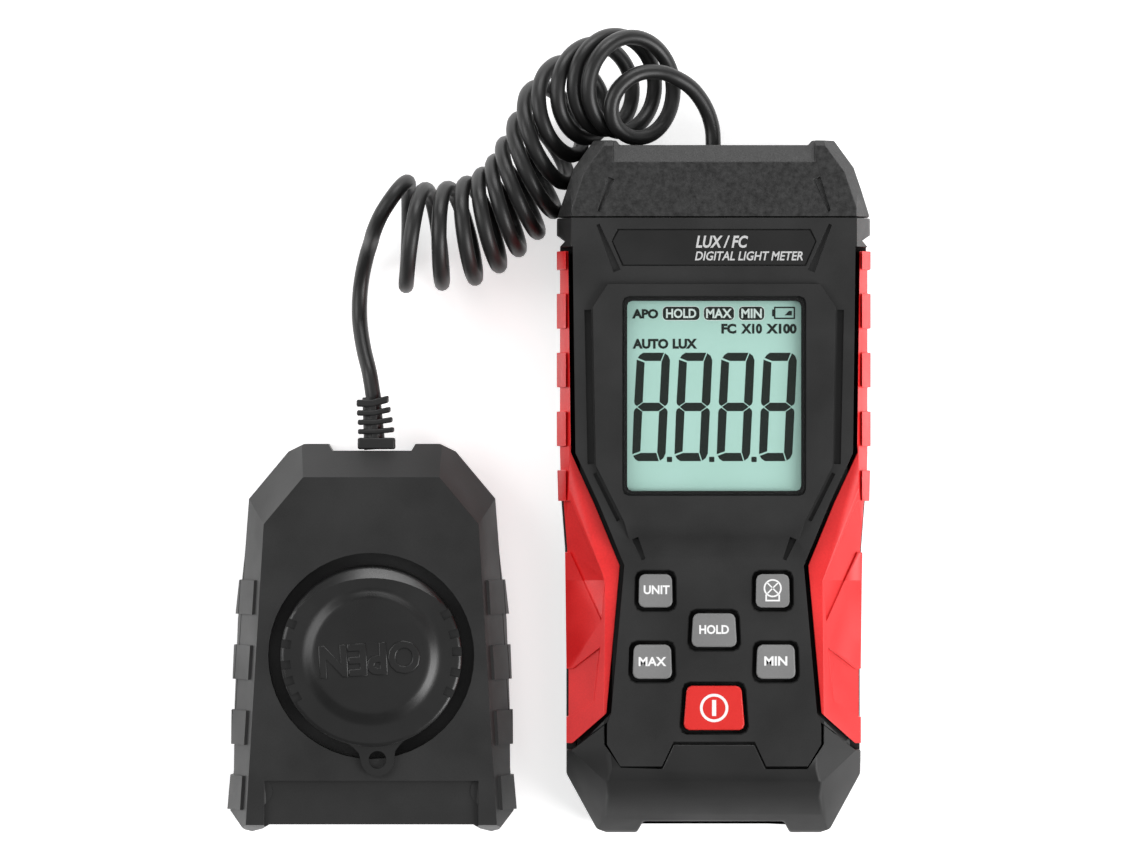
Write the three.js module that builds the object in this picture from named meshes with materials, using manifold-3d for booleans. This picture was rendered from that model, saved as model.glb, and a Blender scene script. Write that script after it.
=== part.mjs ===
// Handheld light meter with a separate sensor probe on a curly cord, millimetres, +Z up.
// Everything lies face up on one surface at z = 0. The origin is the centre of the meter's back,
// +Y runs to the cord end and +X to the right of the display.
import * as THREE from "three";
import { mergeVertices } from "three/addons/utils/BufferGeometryUtils.js";
import Module from "manifold-3d";

const wasm = await Module();
wasm.setup();

// ---- driving dimensions: meter --------------------------------------------------------------

// zones along the length, from the cord end down
const capLength = 16.8;
const labelLength = 14.7;
const neckLength = 7.5;
const footLength = 14.3;

const caseHalf = 33.7; // half width of the case between the grip pads
const padProud = 0.7; // grip pads stand out by this much
const partingZ = 12; // rear shell below, front shell above
const keypadFace = 30; // height of the keypad panel
const labelFace = 31.5; // height of the label panel and of the cap
const displayFace = 33; // height of the display bezel
const shoulderZ = 28.6; // inner strip of the grips
const edgeZ = 22; // outer edge of the grips' lower plates

const gap = 0.3; // between two pieces that seat on each other
const coverThickness = 2.2; // rubber grips and bumper
const shellWall = 2.1; // moulded walls under the covers
const ceilingWall = 2.4; // wall of the front panel
const rearWall = 2.4; // walls and floor of the rear shell
const grooveWidth = 1; // between the panel and the covers

// grip pads, down both sides from the cap
const padCount = 5;
const padPitch = 12.9;
const padLength = 7.6;
const firstPadDrop = 7.6;

// display
const windowHalf = 19.8;
const windowLength = 43.1;
const windowDrop = 2.85; // from the top of the display zone to the window pane
const windowFoot = 6.15; // and below the pane
const windowThickness = 1;
const windowSunk = 0.7;
const lcdHalf = 20.6;
const lcdMargin = 2.4; // display glass longer than its window
const lcdThickness = 2;
const backlightThickness = 2.6;
const lcdFrameWall = 1.3;

// boards and keys
const pcbZ = 17.4;
const pcbThickness = 1.6;
const pcbMargin = 2.2;
const matThickness = 2.2;
const keyTravel = 1;
const keyProud = 0.9;
const keyFlange = 1.3;
const keyFlangeThickness = 1.4;
const keyClearance = 0.8;
const keyBorder = 1; // sunken border round each key
const keyCorner = 1.2;
const keys = [
  { name: "unit", x: -12.8, drop: 7.4, top: 7.2, bottom: 7.4, height: 7.3 },
  { name: "lamp", x: 12.8, drop: 7.4, top: 7.2, bottom: 7.4, height: 7.3 },
  { name: "hold", x: 0, drop: 16.0, top: 9.3, bottom: 9.9, height: 7.4 },
  { name: "max", x: -13.5, drop: 22.9, top: 8.2, bottom: 8.6, height: 7.5 },
  { name: "min", x: 13.5, drop: 22.9, top: 8.2, bottom: 8.6, height: 7.5 },
  { name: "power", x: 0, drop: 33.0, top: 12.1, bottom: 13.3, height: 9.7 },
];
const keypadFoot = 8.55; // panel below the lowest key
const matMargin = 6.5; // mat past the middle of the lowest key
const bumperRise = 5.5; // the bumper climbs this far beside the keypad

// three AAA cells in a bay in the back
const batteryCount = 3;
const batteryRadius = 5.25;
const batteryLength = 44.5;
const batterySpacing = 0.8;
const springLength = 3.4;
const plateThickness = 0.5;
const bayWall = 1.3;
const bayDrop = 2.2; // bay starts this far below the centre
const doorThickness = 1.9;
const doorTail = 6.4; // door past the bay, for its screw

// screws
const screwHead = 2.6;
const screwHeadHeight = 1.8;
const screwShank = 1.35;
const bossRadius = 3.3;
const screwSunk = 1;
const caseScrewX = 25;
const caseScrewInset = 27.9; // from either end of the case
const caseScrewLength = 15;

// ---- driving dimensions: probe and cord -----------------------------------------------------

const probeX = -75.1;
const probeY = -33;
const probeHalf = 31.2; // half width at its foot
const probeTop = 42.5;
const probeBottom = 42.7;
const probeFace = 22;
const probeParting = 11;
const probeWall = 2.2;
const probePadProud = 0.7;
const probePadPitch = 14.3;
const probePadLength = 7.5;
const sensorY = -4; // centre of the sensor in the probe
const wellClearance = 2.7; // round the cap
const wellFloor = 16;
const wellFloorThickness = 1.6;
const capRadius = 19.9;
const capWall = 1.6;
const capTop = 25.2;
const capBase = 17;
const lugReach = 3.1; // lug hole past the cap's rim
const lugHole = 1.9;
const lugTip = 3.6;
const lugThickness = 1.5;
const domeFlange = 2;
const domeHeight = 5.2;
const domeWall = 1.2;
const ringWall = 1.1;
const reliefX = 1;
const reliefWidth = 7.8;
const reliefRibs = 4;
const reliefPitch = 2.15;
const leadLean = 0.9; // the cord leaves the relief this far to its left
const capTurn = 3.5; // degrees that the cap is pushed on out of square
const probeScrewLength = 10;

const grommetRadius = 2.9; // of the sleeve in the cap's hole
const cordRadius = 1.7;
const coilRadius = 12.5;
const cordZ = 15; // where the cord leaves the meter

// ---- heights and places worked out from them ------------------------------------------------

const displayLength = windowLength + windowDrop + windowFoot;
const lowestKey = keys[keys.length - 1];
const keypadLength = lowestKey.drop + lowestKey.height / 2 + keypadFoot;
const length = capLength + labelLength + displayLength + neckLength + keypadLength + footLength;
const yTop = length / 2;
const yCap = yTop - capLength;
const yDisplay = yCap - labelLength;
const yNeck = yDisplay - displayLength;
const yKeys = yNeck - neckLength;
const yFoot = yKeys - keypadLength;
const yBottom = -yTop;
const midZ = labelFace / 2;
const pcbTop = pcbZ + pcbThickness;
const lcdLength = windowLength + lcdMargin;
const caseScrewY = yTop - caseScrewInset;
const batteryPitch = 2 * batteryRadius + batterySpacing;
const bayTop = -bayDrop;
const bayBottom = bayTop - batteryLength - springLength - plateThickness - 4 * gap;
const bayHalf = ((batteryCount - 1) / 2) * batteryPitch + batteryRadius + 1;
const wellRadius = capRadius + wellClearance;
const domeRadius = capRadius - capWall - ringWall - domeFlange - 2 * gap;

// ---- geometry helpers -----------------------------------------------------------------------

function solid(geometry) {
  const bare = geometry.clone();
  bare.deleteAttribute("normal");
  bare.deleteAttribute("uv");
  const merged = mergeVertices(bare, 1e-4);
  return new wasm.Manifold(
    new wasm.Mesh({
      numProp: 3,
      vertProperties: new Float32Array(merged.getAttribute("position").array),
      triVerts: new Uint32Array(merged.index.array),
    }),
  );
}

function geometryOf(manifold) {
  const mesh = manifold.getMesh();
  const indexed = new THREE.BufferGeometry();
  indexed.setAttribute("position", new THREE.BufferAttribute(mesh.vertProperties, 3));
  indexed.setIndex(new THREE.BufferAttribute(mesh.triVerts, 1));
  const flat = indexed.toNonIndexed();
  flat.computeVertexNormals();
  return flat;
}

// full outline from the right half, listed from the top centre to the bottom centre
function mirrored(half) {
  const left = half.map(([x, y]) => [-x, y]).reverse();
  return [...half, ...left].filter(([x, y], i, all) => {
    const [px, py] = all[(i + all.length - 1) % all.length];
    return Math.hypot(x - px, y - py) > 1e-6;
  });
}

function shapeOf(points) {
  return new THREE.Shape(points.map(([x, y]) => new THREE.Vector2(x, y)));
}

function extrude(points, depth) {
  const settings = { depth, bevelEnabled: false, curveSegments: 4 };
  const shape = points instanceof THREE.Shape ? points : shapeOf(points);
  return new THREE.ExtrudeGeometry(shape, settings);
}

// prism of an outline in X and Y
function prismZ(points, low, high) {
  return solid(extrude(points, high - low).translate(0, 0, low));
}

// prism of an outline in X and Z
function prismY(points, low, high) {
  return solid(extrude(points, high - low).rotateX(Math.PI / 2).translate(0, high, 0));
}

// prism of an outline in Y and Z
function prismX(points, low, high) {
  const turn = new THREE.Matrix4().makeBasis(
    new THREE.Vector3(0, 1, 0),
    new THREE.Vector3(0, 0, 1),
    new THREE.Vector3(1, 0, 0),
  );
  return solid(extrude(points, high - low).applyMatrix4(turn).translate(low, 0, 0));
}

function box(x0, x1, y0, y1, z0, z1) {
  const geometry = new THREE.BoxGeometry(x1 - x0, y1 - y0, z1 - z0);
  return solid(geometry.translate((x0 + x1) / 2, (y0 + y1) / 2, (z0 + z1) / 2));
}

function cylinder(x, y, z0, z1, radius, sides = 24) {
  const geometry = new THREE.CylinderGeometry(radius, radius, z1 - z0, sides);
  return solid(geometry.rotateX(Math.PI / 2).translate(x, y, (z0 + z1) / 2));
}

// turned piece about a vertical axis, from its profile of [radius, z] points
function turned(profile, x, y, sides = 32) {
  const points = profile.map(([r, z]) => new THREE.Vector2(r, z));
  const made = new THREE.LatheGeometry(points, sides).rotateX(Math.PI / 2);
  return solid(made.translate(x, y, 0));
}

// turned piece about an axis along Y
function turnedY(profile, x, z, sides = 20) {
  const points = profile.map(([r, y]) => new THREE.Vector2(r, y));
  return solid(new THREE.LatheGeometry(points, sides).translate(x, 0, z));
}

const cornerSteps = 2;

function roundedRectangle(width, height, corner, x = 0, y = 0, topWidth = width) {
  const outline = [];
  const centres = [
    [width / 2 - corner, corner - height / 2, -90],
    [topWidth / 2 - corner, height / 2 - corner, 0],
    [corner - topWidth / 2, height / 2 - corner, 90],
    [corner - width / 2, corner - height / 2, 180],
  ];
  for (const [cx, cy, start] of centres) {
    for (let step = 0; step <= cornerSteps; step += 1) {
      const angle = ((start + (step * 90) / cornerSteps) * Math.PI) / 180;
      outline.push([x + cx + corner * Math.cos(angle), y + cy + corner * Math.sin(angle)]);
    }
  }
  return outline;
}

// everything above the plane through three points
function above(a, b, c) {
  const size = 400;
  const [p, q, r] = [a, b, c].map((point) => new THREE.Vector3(...point));
  const along = q.clone().sub(p).normalize();
  const up = along.clone().cross(r.clone().sub(p)).normalize();
  if (up.z < 0) up.negate();
  const across = up.clone().cross(along).normalize();
  const turn = new THREE.Matrix4().makeBasis(along, across, up).setPosition(p);
  const block = new THREE.BoxGeometry(size, size, size).translate(0, 0, size / 2);
  return solid(block.applyMatrix4(turn));
}

function bothSides(make) {
  return make(1).add(make(-1));
}

function scaled(manifold, sx, sy, sz, z0) {
  const geometry = geometryOf(manifold);
  geometry.translate(0, 0, -z0);
  geometry.scale(sx, sy, sz);
  geometry.translate(0, 0, z0);
  return solid(geometry);
}

// a tapered groove in a face, from one end to the other
function groove([x0, y0], [x1, y1], w0, w1, low, high) {
  const reach = Math.hypot(x1 - x0, y1 - y0);
  const nx = (y0 - y1) / reach / 2;
  const ny = (x1 - x0) / reach / 2;
  const corners = [
    [x0 + nx * w0, y0 + ny * w0],
    [x0 - nx * w0, y0 - ny * w0],
    [x1 - nx * w1, y1 - ny * w1],
    [x1 + nx * w1, y1 + ny * w1],
  ];
  return prismZ(corners, low, high);
}

const rubberRed = { color: 0xd8302f, roughness: 0.55 };
const plasticBlack = { color: 0x2b2b2b, roughness: 0.6 };
const keyGrey = { color: 0x7a7a7a, roughness: 0.55 };
const steel = { color: 0xb8b8ba, roughness: 0.3, metalness: 1 };
const meter = new THREE.Group();

function piece(name, manifold, look) {
  const mesh = new THREE.Mesh(geometryOf(manifold), new THREE.MeshStandardMaterial(look));
  mesh.name = name;
  meter.add(mesh);
}

// ---- meter: outer form ----------------------------------------------------------------------

function caseOutline() {
  return mirrored([
    [0, yTop - 1],
    [20.6, yTop - 1],
    [21.4, yTop],
    [26.3, yTop],
    [caseHalf - 3.1, yTop - 5.9],
    [caseHalf + 0.6, yCap],
    [caseHalf + 0.7, yCap - 0.9],
    [caseHalf + 0.7, yCap - 3.8],
    [caseHalf - 1.2, yCap - 5.1],
    [caseHalf, yCap - 6.4],
    [caseHalf, yNeck + 15],
    [caseHalf - 0.3, yNeck + 4.7],
    [caseHalf - 1.1, yNeck - 5.8],
    [caseHalf - 1.4, yKeys - 24],
    [caseHalf - 1.4, yFoot - 1.3],
    [25.7, yBottom + 0.9],
    [23.5, yBottom],
    [16.8, yBottom],
    [15.4, yBottom + 2.6],
    [0, yBottom + 2.6],
  ]);
}

function crossSection() {
  return mirrored([
    [0, displayFace + 1],
    [caseHalf - 2.6, displayFace + 1],
    [caseHalf - 2.4, shoulderZ + 0.8],
    [caseHalf + 0.2, edgeZ + 1],
    [caseHalf + 0.8, 18],
    [caseHalf + 0.8, partingZ - 1],
    [caseHalf - 3.2, 2.5],
    [caseHalf - 6, 0],
    [0, 0],
  ]);
}

function sideProfile() {
  return [
    [yBottom + 3, 0],
    [yTop - 3, 0],
    [yTop - 0.6, 2.5],
    [yTop + 0.1, 8],
    [yTop + 0.1, labelFace - 1.2],
    [yTop - 1.2, labelFace],
    [yDisplay, labelFace],
    [yDisplay, displayFace],
    [yNeck, displayFace],
    [yKeys, keypadFace],
    [yFoot, keypadFace],
    [yFoot - 2.6, keypadFace - 0.5],
    [yFoot - 6.2, keypadFace - 2.9],
    [yFoot - 10, keypadFace - 7],
    [yBottom + 0.6, keypadFace - 12.5],
    [yBottom - 0.1, keypadFace - 15],
    [yBottom - 0.1, 6],
    [yBottom + 0.8, 2.2],
  ];
}

// inner edge of the grips, right side, from the cap down
function gripEdge() {
  return [
    [caseHalf - 1.8, yCap - 7.4],
    [caseHalf - 2.4, yNeck + 15.2],
    [26.2, yNeck + 4.2],
    [20.6, yKeys - 1.9],
    [23.5, yFoot + 12.2],
    [31, yFoot + bumperRise],
  ];
}

// the front panel inside the covers
function panelOutline() {
  const edge = gripEdge().slice(1, 5).map(([x, y]) => [x - grooveWidth, y]);
  return mirrored([
    [0, yTop + 1],
    [caseHalf + 2, yTop + 1],
    [caseHalf + 2, yCap - 5],
    [caseHalf - 2.8, yCap - 7],
    ...edge,
    [23.8, yFoot + 8.6],
    [23.8, yFoot + 5.1],
    [20.2, yFoot],
    [11.4, yFoot],
    [8.9, yFoot + 5.4],
    [0, yFoot + 5.4],
  ]);
}

// the raised octagon round the display, running down the neck
function bezelOutline() {
  return mirrored([
    [0, yDisplay],
    [23.2, yDisplay],
    [26.5, yDisplay - 5],
    [25.8, yNeck + 12.4],
    [19.6, yNeck],
    [17.5, yKeys],
    [0, yKeys],
  ]);
}

function capChamfers(side) {
  const low = labelFace - 4.6;
  const a = [26.3, yTop];
  const b = [caseHalf - 3.1, yTop - 5.9];
  const c = [caseHalf + 0.6, yCap];
  const planes = [
    [a, b],
    [b, c],
  ].map(([p, q]) => {
    const reach = Math.hypot(q[0] - p[0], q[1] - p[1]);
    const inset = 2.4 / reach;
    const inner = [p[0] + (q[1] - p[1]) * inset, p[1] - (q[0] - p[0]) * inset];
    return above(
      [side * p[0], p[1], low],
      [side * q[0], q[1], low],
      [side * inner[0], inner[1], labelFace],
    );
  });
  const slab = box(-60, 60, yCap - 0.5, yTop + 5, 0, 60);
  return planes[0].add(planes[1]).intersect(slab);
}

function shoulderCuts(side) {
  const x = caseHalf - 1.3;
  const upper = above(
    [side * 31.35, yNeck + 4.7, shoulderZ - 0.6],
    [side * 23.8, yKeys - 5.2, shoulderZ],
    [side * x, yKeys - 5.2, edgeZ],
  );
  const lower = above(
    [side * 23.8, yKeys - 5.2, shoulderZ],
    [side * 24.6, yFoot + 12.6, shoulderZ - 0.4],
    [side * x, yKeys - 15, edgeZ],
  );
  const [x0, x1] = side > 0 ? [0, 60] : [-60, 0];
  const bend = yKeys - 5.2;
  const flat = box(x0, x1, yFoot + bumperRise, yNeck + 17, shoulderZ, 60);
  const upperZone = box(x0, x1, bend, yNeck + 25, 0, 60);
  const lowerZone = box(x0, x1, yFoot - 6, bend, 0, 60);
  return upper.intersect(upperZone).add(lower.intersect(lowerZone)).add(flat);
}

function footCuts(side) {
  return above(
    [side * (caseHalf - 1.4), yFoot - 1.3, keypadFace - 13],
    [side * 25.7, yBottom + 0.9, keypadFace - 13],
    [side * 23.4, yFoot - 2.2, keypadFace],
  ).intersect(box(-60, 60, yBottom - 5, yFoot + bumperRise, 0, 60));
}

function caseForm() {
  const high = displayFace + 1;
  const block = prismZ(caseOutline(), 0, high)
    .intersect(prismY(crossSection(), yBottom - 1, yTop + 1))
    .intersect(prismX(sideProfile(), -60, 60));
  const panel = prismZ(panelOutline(), 0, high + 1);
  const bezel = prismZ(bezelOutline(), 0, high + 1);
  const band = box(-60, 60, yKeys, yDisplay + 1, labelFace, 60).subtract(bezel);
  const capDip = prismX(
    [
      [yTop - 4.8, labelFace],
      [yTop + 1, labelFace - 4.2],
      [yTop + 1, labelFace + 2],
      [yTop - 4.8, labelFace + 2],
    ],
    -22,
    22,
  );
  return block
    .subtract(bothSides(shoulderCuts).subtract(panel))
    .subtract(band)
    .subtract(capDip)
    .subtract(bothSides(capChamfers))
    .subtract(bothSides(footCuts));
}

const outer = caseForm();

// the same form drawn in by an amount sideways and an amount in height
function drawnIn(across, height, along = across) {
  return scaled(
    outer,
    (caseHalf - across) / caseHalf,
    (yTop - along) / yTop,
    (midZ - height) / midZ,
    midZ,
  );
}

const underCovers = drawnIn(coverThickness, coverThickness);
// the step up to the bumper faces the cord end, so the core is also held back from it
const heldBack = solid(geometryOf(underCovers).translate(0, -gap, 0));
const shellCore = drawnIn(coverThickness + gap, coverThickness + gap).intersect(heldBack);

function gripRegion(side, grow) {
  const edge = gripEdge().map(([x, y], i) => {
    const drop = i === 0 ? -grow : i === 5 ? grow : 0;
    return [side * (x - grow), y - drop];
  });
  const bottom = edge[edge.length - 1][1];
  return prismZ(
    [...edge, [side * 50, bottom], [side * 50, edge[0][1]]],
    partingZ + gap / 2 - grow,
    60,
  );
}

function bumperRegion(grow) {
  return prismZ(
    mirrored([
      [0, yFoot + 5.4 + grow],
      [8.9, yFoot + 5.4 + grow],
      [11.4, yFoot + grow],
      [20.2 + grow / 2, yFoot + grow],
      [24 - grow, yFoot + 5.4],
      [24 - grow, yFoot + 9.6 + grow],
      [31, yFoot + 4 + grow],
      [50, yFoot + 4 + grow],
      [50, yBottom - 5],
      [0, yBottom - 5],
    ]),
    partingZ + gap / 2 - grow,
    60,
  );
}

// ---- meter: covers and shells ---------------------------------------------------------------

function padBody(side) {
  const wide = (caseHalf + padProud) / caseHalf;
  const broad = scaled(outer, wide, 1, 1, midZ);
  let pads = null;
  for (let i = 0; i < padCount; i += 1) {
    const centre = yCap - firstPadDrop - i * padPitch;
    const half = padLength / 2;
    const x = side * (caseHalf - 1.3);
    const slab = box(Math.min(x, side * 60), Math.max(x, side * 60), centre - half, centre + half, 0, 60);
    const pad = broad.intersect(slab);
    pads = pads ? pads.add(pad) : pad;
  }
  return pads;
}

// sunk plates of the grip's lower half
function gripPlates(side) {
  const upper = [
    [side * 31.4, yNeck + 4.7],
    [side * 23.8, yKeys - 5.2],
    [side * 24.6, yKeys - 14.2],
    [side * 31.5, yKeys + 0.9],
    [side * 50, yKeys + 0.9],
    [side * 50, yNeck + 4.7],
  ];
  const lower = [
    [side * 25, yKeys - 19.9],
    [side * 31, yKeys - 24.6],
    [side * 50, yKeys - 24.6],
    [side * 50, yKeys - 35.2],
    [side * 32, yKeys - 35.2],
    [side * 26.2, yKeys - 31.5],
  ];
  const low = partingZ - 1;
  return prismZ(upper, low, 60).add(prismZ(lower, low, 60));
}

function grip(side) {
  const slightly = drawnIn(0.5, 0.5, 0);
  return outer
    .add(padBody(side))
    .intersect(gripRegion(side, 0))
    .subtract(gripPlates(side).subtract(slightly))
    .subtract(underCovers);
}

function bumper() {
  return outer.intersect(bumperRegion(0)).subtract(underCovers);
}

function wedgeGrooves() {
  const high = displayFace + 2;
  return bothSides((side) =>
    groove([side * 22.5, yCap + 8.5], [side * 25.2, yCap + 1.2], 1.4, 0.5, labelFace - 0.7, high)
      .add(groove([side * 25.4, yCap - 1.6], [side * 21.2, yCap - 11.8], 0.7, 1.7, labelFace - 0.8, high))
      .add(groove([side * 17.3, yNeck - 3.4], [side * 15.4, yKeys - 0.6], 1.5, 0.9, keypadFace - 0.8, high))
      .add(
        groove([side * 27.6, yDisplay - 5.6], [side * 26.9, yNeck + 12.8], 1.5, 1.5, labelFace - 1.4, high),
      )
      .add(groove([side * 26.1, yNeck + 10.8], [side * 20.9, yNeck + 0.4], 0.8, 0.8, labelFace - 1.2, high)),
  );
}

function topCap() {
  const region = box(-60, 60, yCap + gap / 2, yTop + 5, 0, 60);
  const hollow = drawnIn(coverThickness, coverThickness);
  const radius = grommetRadius + gap;
  const profile = [
    [0, yTop - 12],
    [radius, yTop - 12],
    [radius, yTop + 2],
    [0, yTop + 2],
  ];
  const hole = turnedY(profile, 0, cordZ);
  return outer.intersect(region).subtract(hollow).subtract(wedgeGrooves()).subtract(hole);
}

function boss(x, y, low, high) {
  return cylinder(x, y, low, high, bossRadius, 20);
}

function bossPlaces() {
  const places = [];
  for (const x of [-caseScrewX, caseScrewX]) {
    for (const y of [-caseScrewY, caseScrewY]) places.push([x, y]);
  }
  return places;
}

function windowCentre() {
  return yDisplay - windowDrop - windowLength / 2;
}

function displayOpening() {
  const grow = 2 * gap;
  const y = windowCentre();
  const seatZ = displayFace - windowSunk - windowThickness - gap;
  const seat = roundedRectangle(2 * windowHalf + grow, windowLength + grow, 1.5, 0, y);
  const sight = roundedRectangle(2 * windowHalf - 1.5, windowLength - 1.5, 1.2, 0, y);
  return prismZ(seat, seatZ, 60).add(prismZ(sight, seatZ - 4, 60));
}

function keyOutline(key, grow) {
  const y = yKeys - key.drop;
  return roundedRectangle(
    key.bottom + 2 * grow,
    key.height + 2 * grow,
    keyCorner + grow / 2,
    key.x,
    y,
    key.top + 2 * grow,
  );
}

function keyOpenings() {
  let cut = null;
  for (const key of keys) {
    const hole = prismZ(keyOutline(key, keyClearance), 20, 60);
    const border = prismZ(keyOutline(key, keyBorder), keypadFace - 0.9, 60);
    const both = hole.add(border);
    cut = cut ? cut.add(both) : both;
  }
  return cut;
}

function nameplateOutline(grow) {
  const y = yCap - 2.9;
  return mirrored([
    [0, y + grow],
    [20.8 + grow, y + grow],
    [22.1 + grow, y - 2.4],
    [19.8 + grow, y - 7.5 - grow],
    [0, y - 7.5 - grow],
  ]);
}

function frontShell() {
  const zone = box(-60, 60, yBottom - 5, yCap - gap / 2, partingZ + gap / 2, 60);
  const covers = bothSides((side) => gripRegion(side, grooveWidth)).add(bumperRegion(gap + 0.3));
  const body = outer.intersect(zone).subtract(covers.subtract(shellCore));
  const low = drawnIn(coverThickness + shellWall, coverThickness + shellWall);
  const panel = scaled(prismZ(panelOutline(), 0, 60), (caseHalf - shellWall) / caseHalf, 1, 1, midZ);
  const high = drawnIn(0, ceilingWall, 0)
    .intersect(panel)
    .intersect(box(-60, 60, yFoot + 6.9, yTop, partingZ, 60));
  const tongueZone = box(-60, 60, yCap - 1, yCap + 3.4, partingZ + gap / 2, 60);
  const tongue = drawnIn(coverThickness + gap, coverThickness + gap).intersect(tongueZone);
  const inner = drawnIn(coverThickness + gap + 1.5, coverThickness + gap + 1.5, 0);
  const inside = low.add(high).add(inner.intersect(box(-60, 60, yCap - 2, yCap + 5, 0, 60)));
  let shell = body.add(tongue).subtract(inside);
  const underPanel = drawnIn(1, 1).intersect(prismZ(panelOutline(), 0, 60));
  for (const [x, y] of bossPlaces()) {
    const post = boss(x, y, partingZ + gap, 60).intersect(shellCore.add(underPanel));
    shell = shell.add(post);
  }
  for (const [x, y] of bossPlaces()) {
    shell = shell.subtract(cylinder(x, y, 0, caseScrewLength + screwSunk + 2, screwShank + gap, 16));
  }
  const plate = prismZ(nameplateOutline(gap), labelFace - 0.8, 60);
  return shell
    .subtract(displayOpening())
    .subtract(keyOpenings())
    .subtract(wedgeGrooves())
    .subtract(plate);
}

function doorOutline(grow) {
  const half = bayHalf + 1 + grow;
  const y1 = bayTop + 1 + grow;
  const y0 = bayBottom - doorTail - grow;
  return mirrored([
    [0, y1],
    [half, y1],
    [half, y0 + 7],
    [half - 7, y0],
    [0, y0],
  ]);
}

function doorScrewY() {
  return bayBottom - doorTail / 2 - 0.2;
}

function rearShell() {
  const zone = box(-60, 60, yBottom - 5, yCap - gap / 2, -1, partingZ - gap / 2);
  const inside = drawnIn(rearWall, rearWall).intersect(box(-60, 60, yBottom, yTop, 0, partingZ + 5));
  const wall = box(-bayHalf - bayWall, bayHalf + bayWall, bayBottom - bayWall, bayTop + bayWall, 0, partingZ);
  let shell = outer.intersect(zone).subtract(inside).add(wall.intersect(outer).intersect(zone));
  for (const [x, y] of bossPlaces()) shell = shell.add(boss(x, y, 1, partingZ - gap / 2));
  shell = shell.add(boss(0, doorScrewY(), 1, partingZ - gap / 2));
  const bay = box(-bayHalf, bayHalf, bayBottom, bayTop, -1, 60);
  shell = shell.subtract(bay).subtract(prismZ(doorOutline(gap), -1, doorThickness + gap));
  for (const [x, y] of bossPlaces()) {
    const head = cylinder(x, y, -1, screwSunk + screwHeadHeight + gap, screwHead + gap, 20);
    shell = shell.subtract(head).subtract(cylinder(x, y, 0, 60, screwShank + gap, 16));
  }
  return shell.subtract(cylinder(0, doorScrewY(), 0, 9, screwShank + gap, 16));
}

function screw(x, y, sunk, shank) {
  const neck = sunk + screwHeadHeight;
  const body = turned(
    [
      [0, sunk],
      [screwHead, sunk],
      [screwHead, neck - 0.6],
      [screwShank, neck],
      [screwShank, neck + shank - 1],
      [0.3, neck + shank],
      [0, neck + shank],
    ],
    x,
    y,
    12,
  );
  const slot = box(x - 1.5, x + 1.5, y - 0.3, y + 0.3, sunk - 1, sunk + 0.9);
  const cross = box(x - 0.3, x + 0.3, y - 1.5, y + 1.5, sunk - 1, sunk + 0.9);
  return body.subtract(slot.add(cross));
}

function batteryDoor() {
  const y = doorScrewY();
  const plate = prismZ(doorOutline(0), 0, doorThickness);
  const head = cylinder(0, y, -1, 1.3 + gap, screwHead + gap, 20);
  let ribs = null;
  for (let i = 0; i < 5; i += 1) {
    const ribY = bayTop - 3 - 2 * i;
    const rib = box(-7, 7, ribY - 0.4, ribY + 0.4, -1, 0.5);
    ribs = ribs ? ribs.add(rib) : rib;
  }
  return plate.subtract(head).subtract(cylinder(0, y, -1, 5, screwShank + gap, 16)).subtract(ribs);
}

function doorScrew() {
  const y = doorScrewY();
  const body = turned(
    [
      [0, 0.1],
      [screwHead, 0.1],
      [screwHead, 1.3],
      [screwShank, 1.3],
      [screwShank, 7],
      [0.3, 8],
      [0, 8],
    ],
    0,
    y,
    12,
  );
  return body.subtract(box(-1.6, 1.6, y - 0.3, y + 0.3, -1, 0.8));
}

// ---- meter: inside --------------------------------------------------------------------------

function mainBoard() {
  const half = caseHalf - coverThickness - shellWall - pcbMargin;
  const low = yFoot + 6;
  const plate = box(-half, half, low, yCap - 4, pcbZ, pcbTop);
  let board = plate;
  for (const [x, y] of bossPlaces()) {
    board = board.subtract(boss(x, y, 0, 40)).subtract(cylinder(x, y, 0, 40, bossRadius + gap, 20));
  }
  return board;
}

function keypadMat() {
  const half = 18.4;
  const top = pcbTop + gap + matThickness;
  const postTop = keyBase() - keyTravel - gap;
  let mat = box(-half, half, yKeys - lowestKey.drop - matMargin, yKeys - 2.6, pcbTop + gap, top);
  for (const key of keys) {
    mat = mat.add(prismZ(keyOutline(key, -1.6), top - 0.5, postTop));
  }
  return mat;
}

function ceilingAt(face) {
  return midZ + (face - midZ) * ((midZ - ceilingWall) / midZ);
}

function keyBase() {
  return ceilingAt(keypadFace) - gap - keyFlangeThickness;
}

function keyCap(key) {
  const base = keyBase();
  const flange = prismZ(keyOutline(key, keyFlange), base, base + keyFlangeThickness);
  const cap = prismZ(keyOutline(key, 0), base, keypadFace + keyProud);
  return flange.add(cap);
}

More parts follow.
